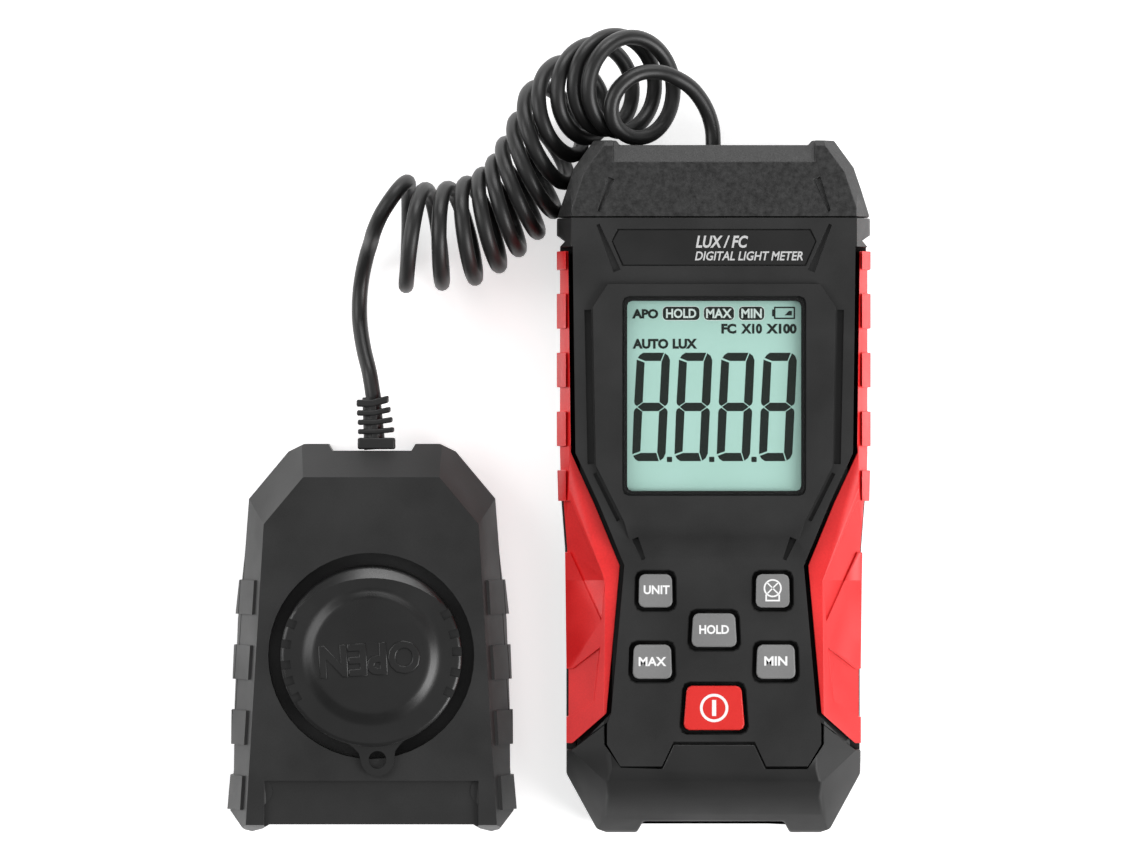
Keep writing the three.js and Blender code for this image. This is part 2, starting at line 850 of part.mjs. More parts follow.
function displayParts() {
  const y = windowCentre();
  const lcdTop = ceilingAt(displayFace) - gap;
  const lcdBase = lcdTop - lcdThickness;
  const lightBase = lcdBase - gap - backlightThickness;
  const yHigh = y + windowLength / 2 + 0.6;
  const yLow = yHigh - lcdLength;
  const pane = roundedRectangle(2 * windowHalf, windowLength, 1.4, 0, y);
  const paneTop = displayFace - windowSunk;
  const wallIn = lcdHalf + gap;
  const frame = box(
    -wallIn - lcdFrameWall,
    wallIn + lcdFrameWall,
    yLow - gap - lcdFrameWall,
    yHigh + gap + 0.9,
    pcbTop + gap,
    ceilingAt(labelFace) - gap,
  ).subtract(box(-wallIn, wallIn, yLow - gap, yHigh + gap, 0, 60));
  piece("lcd_window", prismZ(pane, paneTop - windowThickness, paneTop), {
    color: 0xcfe3dd,
    roughness: 0.08,
    transparent: true,
    opacity: 0.35,
  });
  piece("lcd_frame", frame, plasticBlack);
  piece("lcd_panel", box(-lcdHalf, lcdHalf, yLow, yHigh, lcdBase, lcdTop), {
    color: 0xa9d4c7,
    roughness: 0.35,
  });
  piece("backlight_panel", box(-lcdHalf, lcdHalf, yLow + 3, yHigh, lightBase, lcdBase - gap), {
    color: 0xe9eeea,
    roughness: 0.4,
  });
  piece("zebra_strip", box(-19, 19, yLow + 0.4, yLow + 2.6, pcbTop + gap, lcdBase - gap), {
    color: 0xd98a9a,
    roughness: 0.7,
  });
}

function battery(i) {
  const x = (i - (batteryCount - 1) / 2) * batteryPitch;
  const turn = i % 2 === 0 ? 1 : -1;
  const middle = (bayTop + bayBottom) / 2 + (turn * (springLength - plateThickness)) / 2;
  const z = doorThickness + 2 * gap + batteryRadius;
  const end = batteryLength / 2;
  const at = (along) => middle + turn * along;
  const profile = [
    [0, at(-end)],
    [batteryRadius - 0.6, at(-end)],
    [batteryRadius, at(-end + 0.5)],
    [batteryRadius, at(end - 1.5)],
    [batteryRadius - 0.6, at(end - 1)],
    [1.9, at(end - 1)],
    [1.9, at(end)],
    [0, at(end)],
  ];
  if (turn < 0) profile.reverse();
  piece(`battery_${i + 1}`, turnedY(profile, x, z, 16), { color: 0x3b4148, roughness: 0.35 });
  const flatEnd = at(-end - gap);
  const tip = at(-end - gap - springLength);
  const coil = [
    [0, flatEnd],
    [1.6, flatEnd],
    [2.1, flatEnd - turn * 0.9],
    [1.8, flatEnd - turn * 1.2],
    [2.8, flatEnd - turn * 2.1],
    [2.5, flatEnd - turn * 2.4],
    [3.5, tip],
    [0, tip],
  ];
  if (turn > 0) coil.reverse();
  piece(`battery_spring_${i + 1}`, turnedY(coil, x, z, 10), steel);
  const y0 = at(end + gap);
  const y1 = at(end + gap + plateThickness);
  const plate = box(x - 4.2, x + 4.2, Math.min(y0, y1), Math.max(y0, y1), z - 4, z + 3.6);
  piece(`battery_plate_${i + 1}`, plate, steel);
}

function grommet() {
  const face = yTop - 0.9;
  const inner = yTop - coverThickness - 3.2;
  return turnedY(
    [
      [0, inner - 1.4],
      [4.4, inner - 1.4],
      [4.4, inner],
      [grommetRadius, inner],
      [grommetRadius, face],
      [0, face],
    ],
    0,
    cordZ,
  );
}

function buildMeter() {
  piece("front_shell", frontShell(), plasticBlack);
  piece("rear_shell", rearShell(), plasticBlack);
  piece("top_cap", topCap(), { color: 0x303030, roughness: 0.8 });
  piece("bottom_bumper", bumper(), { color: 0x2a2a2a, roughness: 0.7 });
  piece("grip_right", grip(1), rubberRed);
  piece("grip_left", grip(-1), rubberRed);
  piece("name_plate", prismZ(nameplateOutline(0), labelFace - 0.5, labelFace - 0.1), {
    color: 0x262626,
    roughness: 0.45,
  });
  displayParts();
  piece("main_pcb", mainBoard(), { color: 0x1f6b3a, roughness: 0.5 });
  piece("mcu_chip", box(-6, 6, 14, 26, pcbZ - gap - 1.5, pcbZ - gap), plasticBlack);
  piece("keypad_mat", keypadMat(), { color: 0x4a4a4a, roughness: 0.8 });
  for (const key of keys) {
    const look = key.name === "power" ? { color: 0xdd302c, roughness: 0.45 } : keyGrey;
    piece(`key_${key.name}`, keyCap(key), look);
  }
  for (let i = 0; i < batteryCount; i += 1) battery(i);
  piece("battery_door", batteryDoor(), plasticBlack);
  piece("battery_screw", doorScrew(), steel);
  bossPlaces().forEach(([x, y], i) => {
    piece(`case_screw_${i + 1}`, screw(x, y, screwSunk, caseScrewLength - screwHeadHeight), steel);
  });
  piece("cord_grommet", grommet(), { color: 0x222222, roughness: 0.7 });
}

// ---- probe ----------------------------------------------------------------------------------

function probeOutline() {
  const w = probeHalf;
  return mirrored([
    [0, probeTop - 1.5],
    [8.7, probeTop - 1.5],
    [9.6, probeTop],
    [14.9, probeTop],
    [18.4, probeTop - 1.7],
    [w - 4.1, probeTop - 12.1],
    [w - 3.2, probeTop - 24],
    [w - 1.6, 4],
    [w - 0.9, -15],
    [w - 0.8, -29],
    [w, -probeBottom + 4.5],
    [w - 3.2, -probeBottom + 0.5],
    [w - 4.9, -probeBottom],
    [w - 7.3, -probeBottom + 0.7],
    [w - 8.8, -probeBottom + 1.7],
    [0, -probeBottom + 1.7],
  ]);
}

function probeSection() {
  const w = probeHalf;
  return mirrored([
    [0, probeFace],
    [w + 1, probeFace],
    [w + 1, probeParting - 2],
    [w - 1.6, 2.6],
    [w - 4.4, 0],
    [0, 0],
  ]);
}

function probeSlopes(side) {
  const w = probeHalf;
  const low = probeParting + 0.5;
  const corner = above(
    [side * 18.4, probeTop - 1.7, low],
    [side * (w - 4.1), probeTop - 12.1, low],
    [side * 15.8, probeTop - 8.3, probeFace],
  );
  const flank = above(
    [side * (w - 4.1), probeTop - 12.1, low],
    [side * w, 4.5 - probeBottom, low],
    [side * (w - 7.6), probeTop - 17.9, probeFace],
  );
  return corner.add(flank);
}

function probeForm() {
  const end = above([0, probeTop, low()], [5, probeTop, low()], [0, probeTop - 7.3, probeFace]);
  const foot = above([0, -probeBottom, 15], [5, -probeBottom, 15], [0, 1.6 - probeBottom, probeFace]);
  function low() {
    return probeParting + 2.5;
  }
  return prismZ(probeOutline(), 0, probeFace)
    .intersect(prismY(probeSection(), -probeBottom - 1, probeTop + 1))
    .subtract(bothSides(probeSlopes))
    .subtract(end)
    .subtract(foot);
}

const probeOuter = probeForm();

function probeDrawnIn(across, height) {
  const half = probeFace / 2;
  return scaled(
    probeOuter,
    (probeHalf - across) / probeHalf,
    (probeTop - across) / probeTop,
    (half - height) / half,
    half,
  );
}

function probePads() {
  const broad = scaled(probeOuter, (probeHalf + probePadProud) / probeHalf, 1, 1, 0);
  let pads = null;
  for (let i = 0; i < 4; i += 1) {
    const y = 8.8 - i * probePadPitch;
    const slab = box(-60, 60, y - probePadLength / 2, y + probePadLength / 2, 2.4, 19.6);
    const middle = box(-24, 24, -60, 60, -1, 60);
    const pad = broad.intersect(slab).subtract(middle);
    pads = pads ? pads.add(pad) : pad;
  }
  return pads;
}

function probeScrewPlaces() {
  return [
    [-22.6, probeTop - 17],
    [22.6, probeTop - 17],
    [-25, 9 - probeBottom],
    [25, 9 - probeBottom],
  ];
}

function reliefHole() {
  const r = 2.6 + gap;
  const profile = [
    [0, probeTop - 9],
    [r, probeTop - 9],
    [r, probeTop + 2],
    [0, probeTop + 2],
  ];
  return turnedY(profile, reliefX, probeParting);
}

function probeFront() {
  const zone = box(-60, 60, -60, 60, probeParting + gap / 2, 60);
  const well = cylinder(0, sensorY, wellFloor - wellFloorThickness, 60, wellRadius + 1.8, 48);
  const inside = probeDrawnIn(probeWall, probeWall).subtract(well);
  const panel = box(-23.5, 23.5, -60, 11.3 - probeBottom, probeFace - 1.2, 60);
  let shell = probeOuter.add(probePads()).intersect(zone).subtract(inside).subtract(panel);
  const ceiling = probeFace - 1;
  const core = probeDrawnIn(0.8, 0.8);
  for (const [x, y] of probeScrewPlaces()) {
    const post = boss(x, y, probeParting + gap, ceiling).intersect(core);
    shell = shell.add(post.subtract(cylinder(0, sensorY, 0, 60, wellRadius + 0.2, 48)));
  }
  for (const [x, y] of probeScrewPlaces()) {
    shell = shell.subtract(cylinder(x, y, 0, probeScrewLength + screwSunk + 1, screwShank + gap, 16));
  }
  return shell
    .subtract(cylinder(0, sensorY, wellFloor, 60, wellRadius, 48))
    .subtract(cylinder(0, sensorY, 0, 60, domeRadius - domeWall - 0.2, 40))
    .subtract(reliefHole());
}

function probeRear() {
  const zone = box(-60, 60, -60, 60, -1, probeParting - gap / 2);
  const inside = probeDrawnIn(probeWall, probeWall);
  let shell = probeOuter.add(probePads()).intersect(zone).subtract(inside);
  for (const [x, y] of probeScrewPlaces()) {
    shell = shell.add(boss(x, y, 1, probeParting - gap / 2).intersect(probeOuter));
  }
  for (const [x, y] of probeScrewPlaces()) {
    const head = cylinder(x, y, -1, screwSunk + screwHeadHeight + gap, screwHead + gap, 20);
    shell = shell.subtract(head).subtract(cylinder(x, y, 0, 60, screwShank + gap, 16));
  }
  return shell.subtract(reliefHole());
}

function probeCap() {
  const r = capRadius;
  const inner = r - capWall;
  const shoulder = capTop - 1.2;
  const cap = turned(
    [
      [0, capTop - capWall],
      [r - 7.5, capTop - capWall],
      [r - 5.7, shoulder - capWall],
      [inner, shoulder - capWall],
      [inner, capBase],
      [r, capBase],
      [r, shoulder - 0.8],
      [r - 0.8, shoulder],
      [r - 5.5, shoulder],
      [r - 7.2, capTop],
      [0, capTop],
    ],
    0,
    sensorY,
    48,
  );
  const z0 = probeFace + 0.4;
  const lugY = sensorY - r - lugReach;
  const lug = prismZ(
    mirrored([
      [0, sensorY - r + 1.1],
      [7.5, sensorY - r + 1.1],
      [3.5, lugY - 0.6],
      [2.5, lugY - 2.5],
      [0, lugY - lugTip],
    ]),
    z0,
    z0 + lugThickness,
  );
  const hole = cylinder(0, lugY, 0, 60, lugHole, 24);
  let made = cap.add(lug.subtract(cylinder(0, sensorY, 0, 60, inner + 0.2, 48))).subtract(hole);
  for (const side of [-1, 1]) {
    for (let i = 0; i < 6; i += 1) {
      const angle = ((-32 + 12 * i) * Math.PI) / 180;
      const x = side * (r - 0.9) * Math.cos(angle);
      const y = sensorY + (r - 0.9) * Math.sin(angle);
      const notch = new THREE.BoxGeometry(2.6, 1.5, 5).rotateZ(side * angle);
      made = made.subtract(solid(notch.translate(x + side * 0.35, y, shoulder + 1.9)));
    }
  }
  const turn = (capTurn * Math.PI) / 180;
  const square = geometryOf(made).translate(0, -sensorY, 0);
  return solid(square.rotateZ(turn).translate(0, sensorY, 0));
}

function diffuserDome() {
  const base = wellFloor + gap;
  const profile = [
    [0, 0],
    [domeRadius - domeWall, base],
    [domeRadius + domeFlange, base],
    [domeRadius + domeFlange, base + 1],
    [domeRadius, base + 1],
  ];
  const rise = domeHeight - 1;
  const steps = 5;
  const inner = [];
  for (let i = 0; i <= steps; i += 1) {
    const a = (i * Math.PI) / 2 / steps;
    const across = i === steps ? 0 : Math.cos(a);
    profile.push([domeRadius * across, base + 1.2 + rise * Math.sin(a)]);
    inner.unshift([(domeRadius - domeWall) * across, base + 0.2 + (rise - 0.2) * Math.sin(a)]);
  }
  return turned([...inner, ...profile.slice(1)], 0, sensorY, 28);
}

function diffuserRing() {
  const base = wellFloor + gap;
  const r = domeRadius + domeFlange + gap + ringWall;
  return turned(
    [
      [domeRadius + domeFlange + gap, base],
      [r, base],
      [r, base + 4],
      [r - 0.6, base + 4.6],
      [domeRadius + gap, base + 4.6],
      [domeRadius + gap, base + 1 + gap],
      [domeRadius + domeFlange + gap, base + 1 + gap],
      [domeRadius + domeFlange + gap, base],
    ],
    0,
    sensorY,
    48,
  );
}

function strainRelief() {
  const z = probeParting;
  const y0 = probeTop - 1.5;
  const half = reliefWidth / 2;
  const neck = turnedY(
    [
      [0, y0 - 5],
      [3.8, y0 - 5],
      [3.8, y0 - 3.6],
      [2.6, y0 - 3.6],
      [2.6, y0 + 1],
      [0, y0 + 1],
    ],
    reliefX,
    z,
  );
  const block = roundedRectangle(reliefWidth + 0.4, 2 * half - 0.8, 1.2, reliefX, z);
  const base = prismY(block, y0 + gap, y0 + 2.8);
  const top = y0 + 2.8 + reliefRibs * reliefPitch + 1;
  const spine = turnedY([[0, y0 + 1], [2.3, y0 + 1], [1.95, top], [0, top]], reliefX, z, 12);
  let made = neck.add(base).add(spine);
  for (let i = 0; i < reliefRibs; i += 1) {
    const y = y0 + 2.8 + 1 + i * reliefPitch;
    const rib = roundedRectangle(reliefWidth - 0.3 * i, 2 * half - 0.8 - 0.3 * i, 1.2, reliefX, z);
    made = made.add(prismY(rib, y, y + (i === reliefRibs - 1 ? 1.5 : 1.05)));
  }
  return made;
}

function probePiece(name, manifold, look) {
  const moved = geometryOf(manifold).translate(probeX, probeY, 0);
  piece(name, solid(moved), look);
}

function buildProbe() {
  const boardTop = wellFloor - wellFloorThickness - gap;
  probePiece("probe_front_shell", probeFront(), plasticBlack);
  probePiece("probe_rear_shell", probeRear(), plasticBlack);
  probePiece("probe_cap", probeCap(), plasticBlack);
  probePiece("diffuser_dome", diffuserDome(), { color: 0xf2f2ee, roughness: 0.5 });
  probePiece("diffuser_ring", diffuserRing(), plasticBlack);
  const filter = cylinder(0, sensorY, wellFloor - 0.5, wellFloor + 0.3, 5, 20);
  probePiece("colour_filter", filter, { color: 0x6f8f5a, roughness: 0.15 });
  const die = box(-2.6, 2.6, sensorY - 2.6, sensorY + 2.6, boardTop + gap, boardTop + gap + 0.8);
  probePiece("photodiode", die, { color: 0x15151a, roughness: 0.2 });
  const board = box(-15, 15, sensorY - 16, sensorY + 16, boardTop - pcbThickness, boardTop);
  probePiece("probe_pcb", board, { color: 0x1f6b3a, roughness: 0.5 });
  probePiece("probe_strain_relief", strainRelief(), { color: 0x242424, roughness: 0.7 });
  probeScrewPlaces().forEach(([x, y], i) => {
    const made = screw(x, y, screwSunk, probeScrewLength - screwHeadHeight);
    probePiece(`probe_screw_${i + 1}`, made, steel);
  });
}

// ---- cord -----------------------------------------------------------------------------------

function tube(route, radius, sides, steps) {
  const points = route.map((point) => new THREE.Vector3(...point));
  const section = new THREE.Shape();
  for (let i = 0; i < sides; i += 1) {
    const a = ((i + 0.5) * 2 * Math.PI) / sides;
    const [x, y] = [radius * Math.cos(a), radius * Math.sin(a)];
    if (i === 0) section.moveTo(x, y);
    else section.lineTo(x, y);
  }
  section.closePath();
  const path = new THREE.CatmullRomCurve3(points);
  return solid(new THREE.ExtrudeGeometry(section, { steps, extrudePath: path, bevelEnabled: false }));
}

function meterLeadRoute() {
  const y = yTop - 0.9 + gap;
  return [
    [0, y, cordZ],
    [-0.2, y + 3.5, cordZ + 0.1],
    [-1.2, y + 7, cordZ + 0.7],
    [-2.9, y + 10.1, cordZ + 1.7],
    [-4.4, y + 11.9, cordZ + 2.5],
  ];
}

function probeLeadRoute() {
  const x = probeX + reliefX - leadLean;
  const y = probeY + probeTop - 1.5 + 2.8 + reliefRibs * reliefPitch + 1 + 2 * gap;
  return [
    [x, y, probeParting],
    [x - 0.7, y + 4.2, 10.1],
    [x - 2, y + 9.4, 6.6],
    [x - 2.9, y + 15, 3.2],
    [x - 3, y + 20.2, 2.1],
    [x - 2.6, y + 25, 2.9],
    [x - 1.8, y + 29, 5.5],
    [x - 0.9, y + 32.6, 9.5],
    [x + 0.3, y + 35.7, 13.6],
    [x + 2, y + 39, 16.6],
    [x + 4.2, y + 42.4, 17.3],
    [x + 5.4, y + 44.2, 16],
  ];
}

function coilRoute() {
  const z = coilRadius + 0.2;
  return [
    [-66.9, 55.6, z],
    [-58, 56.2, z],
    [-49, 59.4, z],
    [-40.5, 65.6, z],
    [-33, 74, z],
    [-25, 82.4, z],
    [-16.5, 87, z],
    [-6, 88.2, z],
  ];
}

function buildCord() {
  const black = { color: 0x1d1d1d, roughness: 0.6 };
  const clear = scaled(
    outer,
    (caseHalf + 2 * gap) / caseHalf,
    (yTop + 2 * gap) / yTop,
    1.02,
    midZ,
  );
  const shoulder = box(-caseHalf - padProud - 2 * gap, 0, 0, yCap, 0, 60);
  const coil = tube(coilRoute(), coilRadius, 16, 16).subtract(clear).subtract(shoulder);
  piece("cord_coil", coil, black);
  piece("cord_lead_meter", tube(meterLeadRoute(), cordRadius, 8, 8), black);
  piece("cord_lead_probe", tube(probeLeadRoute(), cordRadius, 8, 16), black);
}

buildMeter();
buildProbe();
buildCord();

export default meter;
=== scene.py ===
"""Looks for a handheld light meter with a sensor probe on a curly cord, in metres, +Z up.

The meter's back and the probe's back lie on the floor at z = 0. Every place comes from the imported
frame; sizes of marks and details are in millimetres, times MM.
"""

import math

import bmesh
import bpy
from mathutils import Matrix, Vector


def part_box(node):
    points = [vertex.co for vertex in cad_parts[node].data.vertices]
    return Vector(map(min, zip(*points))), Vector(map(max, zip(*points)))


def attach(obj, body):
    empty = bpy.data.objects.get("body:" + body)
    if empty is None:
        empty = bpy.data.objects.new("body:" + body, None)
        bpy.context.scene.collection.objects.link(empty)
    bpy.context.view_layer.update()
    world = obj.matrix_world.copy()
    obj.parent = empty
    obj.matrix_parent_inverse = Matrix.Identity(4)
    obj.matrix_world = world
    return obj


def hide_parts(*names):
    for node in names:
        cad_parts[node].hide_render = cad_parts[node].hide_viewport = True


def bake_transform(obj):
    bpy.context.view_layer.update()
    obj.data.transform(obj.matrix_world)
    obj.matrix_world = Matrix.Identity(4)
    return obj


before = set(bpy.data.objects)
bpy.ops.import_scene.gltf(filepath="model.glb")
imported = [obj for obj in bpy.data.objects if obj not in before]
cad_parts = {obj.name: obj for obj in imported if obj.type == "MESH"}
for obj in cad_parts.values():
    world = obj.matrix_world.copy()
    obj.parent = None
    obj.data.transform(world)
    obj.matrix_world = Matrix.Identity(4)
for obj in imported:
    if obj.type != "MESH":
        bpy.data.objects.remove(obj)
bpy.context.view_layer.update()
MM = 0.001
SCENE = bpy.context.scene


# ---- camera, floor and light ----------------------------------------------------------------

CAMERA_LENS = 371.2
CAMERA_PLACE = (-0.0315, 0.0131, 2.6)
LIGHT_TARGET = Vector((-0.03, 0.01, 0.01))
# name, place, width, depth, power
LIGHTS = [
    ("softbox_overhead", (-0.03, 0.05, 1.5), 1.4, 1.4, 1.5),
    ("softbox_right", (1.05, -0.42, 0.82), 0.8, 0.8, 17),
    ("softbox_left", (-1.1, 0.35, 0.85), 0.9, 0.9, 9),
    ("softbox_far", (0.15, 1.25, 0.55), 1.0, 0.5, 9),
]
WHITE = (1, 1, 1, 1)
ROOM_GLOW = 0.26
TABLE_GLOW = 0.6
TABLE_REACH = 3
TABLE_DROP = 0.02 * MM  # keeps the table's face clear of the undersides that lie on it


def put(name, data):
    """Adds an object to the scene."""
    made = bpy.data.objects.new(name, data)
    SCENE.collection.objects.link(made)
    return made


def make_camera():
    """Straight above, with the cord end of the meter at the top of the picture."""
    camera = put("camera", bpy.data.cameras.new("camera"))
    camera.data.lens = CAMERA_LENS
    camera.location = CAMERA_PLACE
    SCENE.camera = camera


def make_light(name, place, width, depth, power):
    """A white softbox that faces the instrument."""
    lamp = bpy.data.lights.new(name, "AREA")
    lamp.shape = "RECTANGLE"
    lamp.size = width
    lamp.size_y = depth
    lamp.energy = power
    made = put(name, lamp)
    made.location = place
    made.rotation_euler = (LIGHT_TARGET - Vector(place)).to_track_quat("-Z", "Y").to_euler()


def make_studio():
    """A pale table under a weak overhead light, with stronger softboxes on three sides."""
    for light in LIGHTS:
        make_light(*light)
    world = bpy.data.worlds.new("white_room")
    world.use_nodes = True
    world.node_tree.nodes["Background"].inputs["Color"].default_value = WHITE
    world.node_tree.nodes["Background"].inputs["Strength"].default_value = ROOM_GLOW
    SCENE.world = world
    SCENE.view_settings.view_transform = "Standard"
    floor = put("floor", bpy.data.meshes.new("floor"))
    shape = bmesh.new()
    bmesh.ops.create_grid(shape, x_segments=1, y_segments=1, size=TABLE_REACH)
    shape.to_mesh(floor.data)
    shape.free()
    paper, shader = new_material("white_light_table", "#f4f4f4", 0.9)
    shader.inputs["Emission Color"].default_value = WHITE
    shader.inputs["Emission Strength"].default_value = TABLE_GLOW
    floor.data.materials.append(paper)
    floor.location.z = -TABLE_DROP


# ---- materials ------------------------------------------------------------------------------

def linear(colour):
    """Linear colour of an sRGB hex value."""
    parts = [int(colour[i : i + 2], 16) / 255 for i in (1, 3, 5)]
    return [c / 12.92 if c <= 0.04045 else ((c + 0.055) / 1.055) ** 2.4 for c in parts] + [1.0]


def node(tree, kind, values=None, links=None, **settings):
    """Adds a node with its input values, its links and its settings."""
    made = tree.nodes.new(kind)
    for name, value in settings.items():
        setattr(made, name, value)
    for name, value in (values or {}).items():
        made.inputs[name].default_value = value
    for name, source in (links or {}).items():
        tree.links.new(source, made.inputs[name])
    return made


def new_material(name, colour, roughness, **values):
    """A material and its main shader, with the values that are the same all over."""
    made = bpy.data.materials.new(name)
    made.use_nodes = True
    shader = made.node_tree.nodes["Principled BSDF"]
    shader.inputs["Base Color"].default_value = linear(colour)
    shader.inputs["Roughness"].default_value = roughness
    for key, value in values.items():
        shader.inputs[key.title()].default_value = value
    return made, shader


def grained(name, dark, light, roughness, grain, depth, mottle=14 * MM):
    """A moulded skin: fine raised grain, and a faint change of tone over a few millimetres."""
    made, shader = new_material(name, dark, roughness)
    tree = made.node_tree
    place = node(tree, "ShaderNodeTexCoord").outputs["Object"]
    speck = node(tree, "ShaderNodeTexNoise", {"Scale": 1 / grain, "Detail": 2.0}, {"Vector": place})
    broad = node(tree, "ShaderNodeTexNoise", {"Scale": 1 / mottle, "Detail": 3.0}, {"Vector": place})
    faint = node(tree, "ShaderNodeMath", {1: 0.5}, {0: speck.outputs["Fac"]}, operation="MULTIPLY")
    total = node(tree, "ShaderNodeMath", links={0: broad.outputs["Fac"], 1: faint.outputs[0]})
    tone = node(tree, "ShaderNodeMapRange", {1: 0.5, 2: 1.0}, {0: total.outputs[0]})
    mix = node(
        tree, "ShaderNodeMix", {6: linear(dark), 7: linear(light)}, {0: tone.outputs[0]},
        data_type="RGBA",
    )
    tree.links.new(mix.outputs[2], shader.inputs["Base Color"])
    bump = node(
        tree, "ShaderNodeBump", {"Strength": 1.0, "Distance": depth}, {"Height": speck.outputs["Fac"]},
    )
    tree.links.new(bump.outputs[0], shader.inputs["Normal"])
    gloss = node(
        tree, "ShaderNodeMapRange", {1: 0.3, 2: 0.7, 3: roughness - 0.06, 4: roughness + 0.08},
        {0: broad.outputs["Fac"]},
    )
    tree.links.new(gloss.outputs[0], shader.inputs["Roughness"])
    return made


def make_materials():
    """Every material by a short name. Bases are darker than they look, as the room adds its glow."""
    made = {}
    # casings: dull black with a fine even grain, and edges that catch the light
    made["abs"] = grained("abs_spark_eroded", "#151515", "#1f1f1f", 0.46, 0.34 * MM, 0.012 * MM)
    # head moulding: coarser grain that sparkles in pale specks
    made["cap_abs"] = grained(
        "abs_coarse_textured", "#0e0e0e", "#2f2f2f", 0.5, 0.45 * MM, 0.06 * MM, mottle=1.1 * MM,
    )
    # foot: soft black rubber, a little darker and duller than the casing
    made["bumper"] = grained("tpe_black_overmould", "#0b0b0b", "#111111", 0.52, 0.4 * MM, 0.008 * MM)
    # side grips: saturated red with a silky sheen
    made["red"] = grained("tpe_red_overmould", "#d81c1e", "#ee2a2a", 0.42, 0.4 * MM, 0.006 * MM)
    # plate over the display: smoother than the casing round it
    made["plate"] = grained("polycarbonate_film_black", "#101010", "#161616", 0.35, 0.5 * MM, 0.002 * MM)
    # keys: even mid grey and red, satin; below the panel they are painted black, as painted shade in the
    # gap round each key
    made["key"] = grained("abs_grey_satin", "#767676", "#808080", 0.45, 0.4 * MM, 0.004 * MM)
    made["key_red"] = grained("abs_red_satin", "#d3201c", "#dd2722", 0.4, 0.4 * MM, 0.003 * MM)
    # painted shade: black for the part of each key that sits in the gap below the panel
    made["skirt"] = new_material("painted_shade_under_keys", "#050505", 0.8)[0]
    # cord: smooth black jacket with long soft highlights, and its duller relief
    made["cord"] = grained("polyurethane_jacket", "#141414", "#1c1c1c", 0.42, 0.5 * MM, 0.006 * MM)
    made["relief"] = grained("pvc_strain_relief", "#161616", "#1d1d1d", 0.45, 0.5 * MM, 0.006 * MM)
    # dust cap: glossier than the casing, so its slopes shine
    made["cap_plain"] = grained("abs_satin_moulded", "#121212", "#181818", 0.31, 0.4 * MM, 0.004 * MM)
    # display: clear pane with a black band under its edge, painted shade for the dark gap round the LCD,
    # over a pale green polariser
    made["window"] = new_material("acrylic_clear", "#0b1210", 0.06, alpha=0.06)[0]
    # painted shade: the black band under the pane's edge, round the display
    made["mask"] = new_material("painted_shade_round_lcd", "#080808", 0.4)[0]
    made["lcd"] = grained("polariser_pale_green", "#b5e0d3", "#bae4d9", 0.4, 0.7 * MM, 0.001 * MM)
    made["segment"] = new_material("lcd_crystal_dark", "#16211c", 0.35)[0]
    made["rim"] = new_material("lcd_crystal_rim", "#e6f7f1", 0.4)[0]
    # legends: crisp opaque white, and the plate's duller grey
    made["ink"] = new_material("pad_printed_white_ink", "#f0f0f0", 0.5)[0]
    made["ink_grey"] = new_material("screen_printed_grey_ink", "#c2c2c2", 0.5)[0]
    # inside the meter
    made["light_guide"] = new_material("acrylic_frosted", "#e6ece8", 0.5)[0]
    made["zebra"] = new_material("silicone_pink_conductive", "#d5899a", 0.6)[0]
    made["board"] = grained("fr4_green_solder_mask", "#12592e", "#1a6a38", 0.35, 2 * MM, 0.01 * MM)
    made["chip"] = grained("epoxy_black_moulded", "#151516", "#1d1d1e", 0.5, 0.4 * MM, 0.006 * MM)
    made["mat"] = grained("silicone_grey_moulded", "#3c3c3c", "#454545", 0.6, 0.5 * MM, 0.004 * MM)
    made["battery"] = grained("battery_sleeve_film", "#2c3440", "#343d4a", 0.3, 2 * MM, 0.002 * MM)
    made["nickel"] = new_material("nickel_plated_spring_steel", "#c9c6bf", 0.25, metallic=1.0)[0]
    made["zinc"] = new_material("zinc_plated_steel", "#b4b6ba", 0.34, metallic=1.0)[0]
    # sensor: milky dome, green filter and dark silicon
    made["opal"] = grained("pmma_opal", "#e9e9e4", "#f2f2ee", 0.35, 0.6 * MM, 0.002 * MM)
    made["filter"] = new_material("glass_green_correction", "#6f9a55", 0.08)[0]
    made["silicon"] = new_material("silicon_photodiode", "#141420", 0.15)[0]
    return made


make_camera()
MATERIALS = make_materials()
make_studio()


# ---- the cord -------------------------------------------------------------------------------

CORD_RADIUS = 0.0017
TURN_RADIUS = 0.0108  # of the curly part, at the middle of the cord
FIRST_TURN = -0.31  # where the curls begin, in turns
LAST_TURN = 12.0
STEPS_PER_TURN = 16
CORD_STEP = 1.1 * MM  # between two rings of the cord's skin
INSIDE_RELIEF = (-0.0745, 0.0180, 0.0110)
INSIDE_METER = (0.0, 0.0725, 0.0150)

# from the meter, then round over the last curl
METER_LEAD = [
    (0.0000, 0.0753, 0.0150), (-0.0002, 0.0788, 0.0151), (-0.0012, 0.0823, 0.0157),
    (-0.0029, 0.0854, 0.0167), (-0.0052, 0.0880, 0.0179), (-0.0085, 0.0900, 0.0195),
    (-0.0120, 0.0911, 0.0205), (-0.0165, 0.0907, 0.0219), (-0.0204, 0.0880, 0.0231),
    (-0.0223, 0.0843, 0.0232), (-0.0221, 0.0806, 0.0226), (-0.0202, 0.0779, 0.0211),
]
# from the curls down to the floor and along it to the probe
PROBE_LEAD = [
    (-0.0671, 0.0625, 0.0036), (-0.0671, 0.0659, 0.0067), (-0.0673, 0.0672, 0.0110),
    (-0.0686, 0.0662, 0.0148), (-0.0707, 0.0635, 0.0170), (-0.0730, 0.0599, 0.0167),
    (-0.0746, 0.0564, 0.0138), (-0.0755, 0.0537, 0.0080), (-0.0765, 0.0506, 0.0051),
    (-0.0775, 0.0460, 0.0029), (-0.0780, 0.0412, 0.0022), (-0.0779, 0.0360, 0.0032),
    (-0.0770, 0.0304, 0.0066), (-0.0757, 0.0252, 0.0101), (-0.0750, 0.0210, 0.0110),
]
